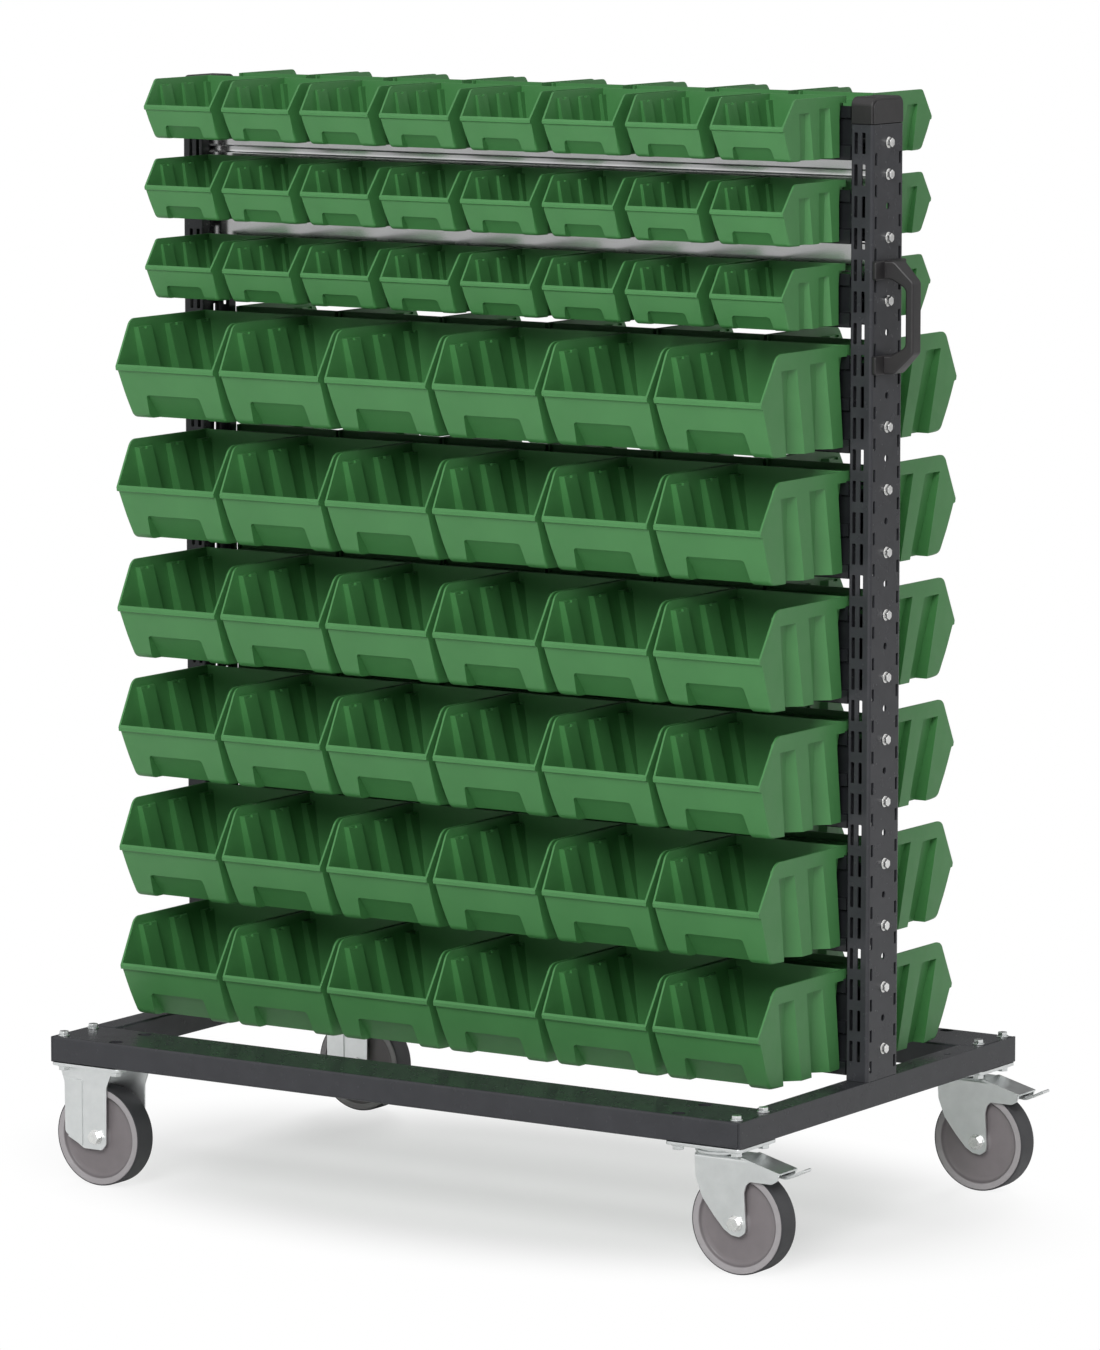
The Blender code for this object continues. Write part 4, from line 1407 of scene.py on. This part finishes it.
def add_floor():
    """Pale floor that keeps the cart's shadow and turns white farther out."""
    shape = bmesh.new()
    corners = rectangle((-40.0, 40.0), (-40.0, 40.0))
    shape.faces.new([shape.verts.new((x, y, 0.0)) for x, y in corners])
    floor = bpy.data.objects.new("floor", finished(shape))
    bpy.context.scene.collection.objects.link(floor)
    made = bpy.data.materials.new("floor")
    made.use_nodes = True
    nodes = made.node_tree.nodes
    link = made.node_tree.links.new
    shader = nodes["Principled BSDF"]
    shader.inputs["Base Color"].default_value = (0.93, 0.93, 0.93, 1.0)
    shader.inputs["Roughness"].default_value = 0.9
    shader.inputs["Specular IOR Level"].default_value = 0.1
    geometry = nodes.new("ShaderNodeNewGeometry")
    squash = nodes.new("ShaderNodeMapping")
    squash.inputs["Scale"].default_value = (1.0, 1.65, 0.0)
    link(geometry.outputs["Position"], squash.inputs["Vector"])
    length = nodes.new("ShaderNodeVectorMath")
    length.operation = "LENGTH"
    link(squash.outputs["Vector"], length.inputs[0])
    away = nodes.new("ShaderNodeMapRange")
    away.interpolation_type = "SMOOTHSTEP"
    away.inputs["From Min"].default_value = 0.42
    away.inputs["From Max"].default_value = 0.80
    away.inputs["To Min"].default_value = 0.52
    link(length.outputs["Value"], away.inputs["Value"])
    path = nodes.new("ShaderNodeLightPath")
    factor = nodes.new("ShaderNodeMath")
    factor.operation = "MULTIPLY"
    link(away.outputs["Result"], factor.inputs[0])
    link(path.outputs["Is Camera Ray"], factor.inputs[1])
    white = nodes.new("ShaderNodeEmission")
    white.inputs["Color"].default_value = (1.0, 1.0, 1.0, 1.0)
    mix = nodes.new("ShaderNodeMixShader")
    link(factor.outputs["Value"], mix.inputs["Fac"])
    link(shader.outputs["BSDF"], mix.inputs[1])
    link(white.outputs["Emission"], mix.inputs[2])
    link(mix.outputs["Shader"], nodes["Material Output"].inputs["Surface"])
    floor.data.materials.append(made)


def add_world():
    """White surroundings, dimmer for diffuse light and for mirrored far sides."""
    world = bpy.data.worlds.new("studio")
    bpy.context.scene.world = world
    world.use_nodes = True
    nodes = world.node_tree.nodes
    link = world.node_tree.links.new
    background = nodes["Background"]
    background.inputs["Color"].default_value = (1.0, 1.0, 1.0, 1.0)
    path = nodes.new("ShaderNodeLightPath")
    coordinates = nodes.new("ShaderNodeTexCoord")
    behind = nodes.new("ShaderNodeVectorMath")
    behind.operation = "DOT_PRODUCT"
    behind.inputs[1].default_value = (-math.sin(AZIMUTH), math.cos(AZIMUTH), 0.0)
    link(coordinates.outputs["Generated"], behind.inputs[0])
    mirrored_level = nodes.new("ShaderNodeMapRange")
    mirrored_level.interpolation_type = "SMOOTHSTEP"
    mirrored_level.inputs["From Min"].default_value = 0.35
    mirrored_level.inputs["From Max"].default_value = 0.85
    mirrored_level.inputs["To Min"].default_value = 1.0
    mirrored_level.inputs["To Max"].default_value = 0.15
    link(behind.outputs["Value"], mirrored_level.inputs["Value"])
    level = nodes.new("ShaderNodeMapRange")
    level.inputs["To Min"].default_value = 0.30
    link(path.outputs["Is Glossy Ray"], level.inputs["Value"])
    link(mirrored_level.outputs["Result"], level.inputs["To Max"])
    shown = nodes.new("ShaderNodeMath")
    shown.operation = "MAXIMUM"
    link(level.outputs["Result"], shown.inputs[0])
    link(path.outputs["Is Camera Ray"], shown.inputs[1])
    link(shown.outputs["Value"], background.inputs["Strength"])


def add_lamp(name, spot, power, mirrored_too):
    """Large soft disc aimed at the middle of the cart."""
    lamp = bpy.data.lights.new(name, "AREA")
    lamp.shape = "DISK"
    lamp.size = LAMP_SIZE
    lamp.energy = power
    item = bpy.data.objects.new(name, lamp)
    bpy.context.scene.collection.objects.link(item)
    item.location = spot
    aim = Vector(LAMP_TARGET) - Vector(spot)
    item.rotation_euler = aim.to_track_quat("-Z", "Y").to_euler()
    item.visible_glossy = mirrored_too


def add_camera():
    data = bpy.data.cameras.new("camera")
    data.lens = LENS
    data.sensor_width = 36.0
    data.clip_end = 200.0
    camera = bpy.data.objects.new("camera", data)
    bpy.context.scene.collection.objects.link(camera)
    back = Vector(
        (
            math.sin(AZIMUTH) * math.cos(ELEVATION),
            -math.cos(AZIMUTH) * math.cos(ELEVATION),
            math.sin(ELEVATION),
        )
    )
    camera.location = CAMERA_PLACE
    camera.rotation_euler = (-back).to_track_quat("-Z", "Y").to_euler()
    bpy.context.scene.camera = camera


def build():
    looks = make_materials()
    add_base(looks)
    add_uprights(looks)
    add_upright_bolts(looks)
    add_rails(looks)
    add_bins(looks)
    add_casters(looks)
    add_floor()
    add_world()
    add_lamp("key", (2.8, -7.3, 5.2), 550.0, True)
    add_lamp("back", (-2.8, 7.3, 5.2), 380.0, False)
    add_camera()
    bpy.context.scene.view_settings.view_transform = "Standard"


build()
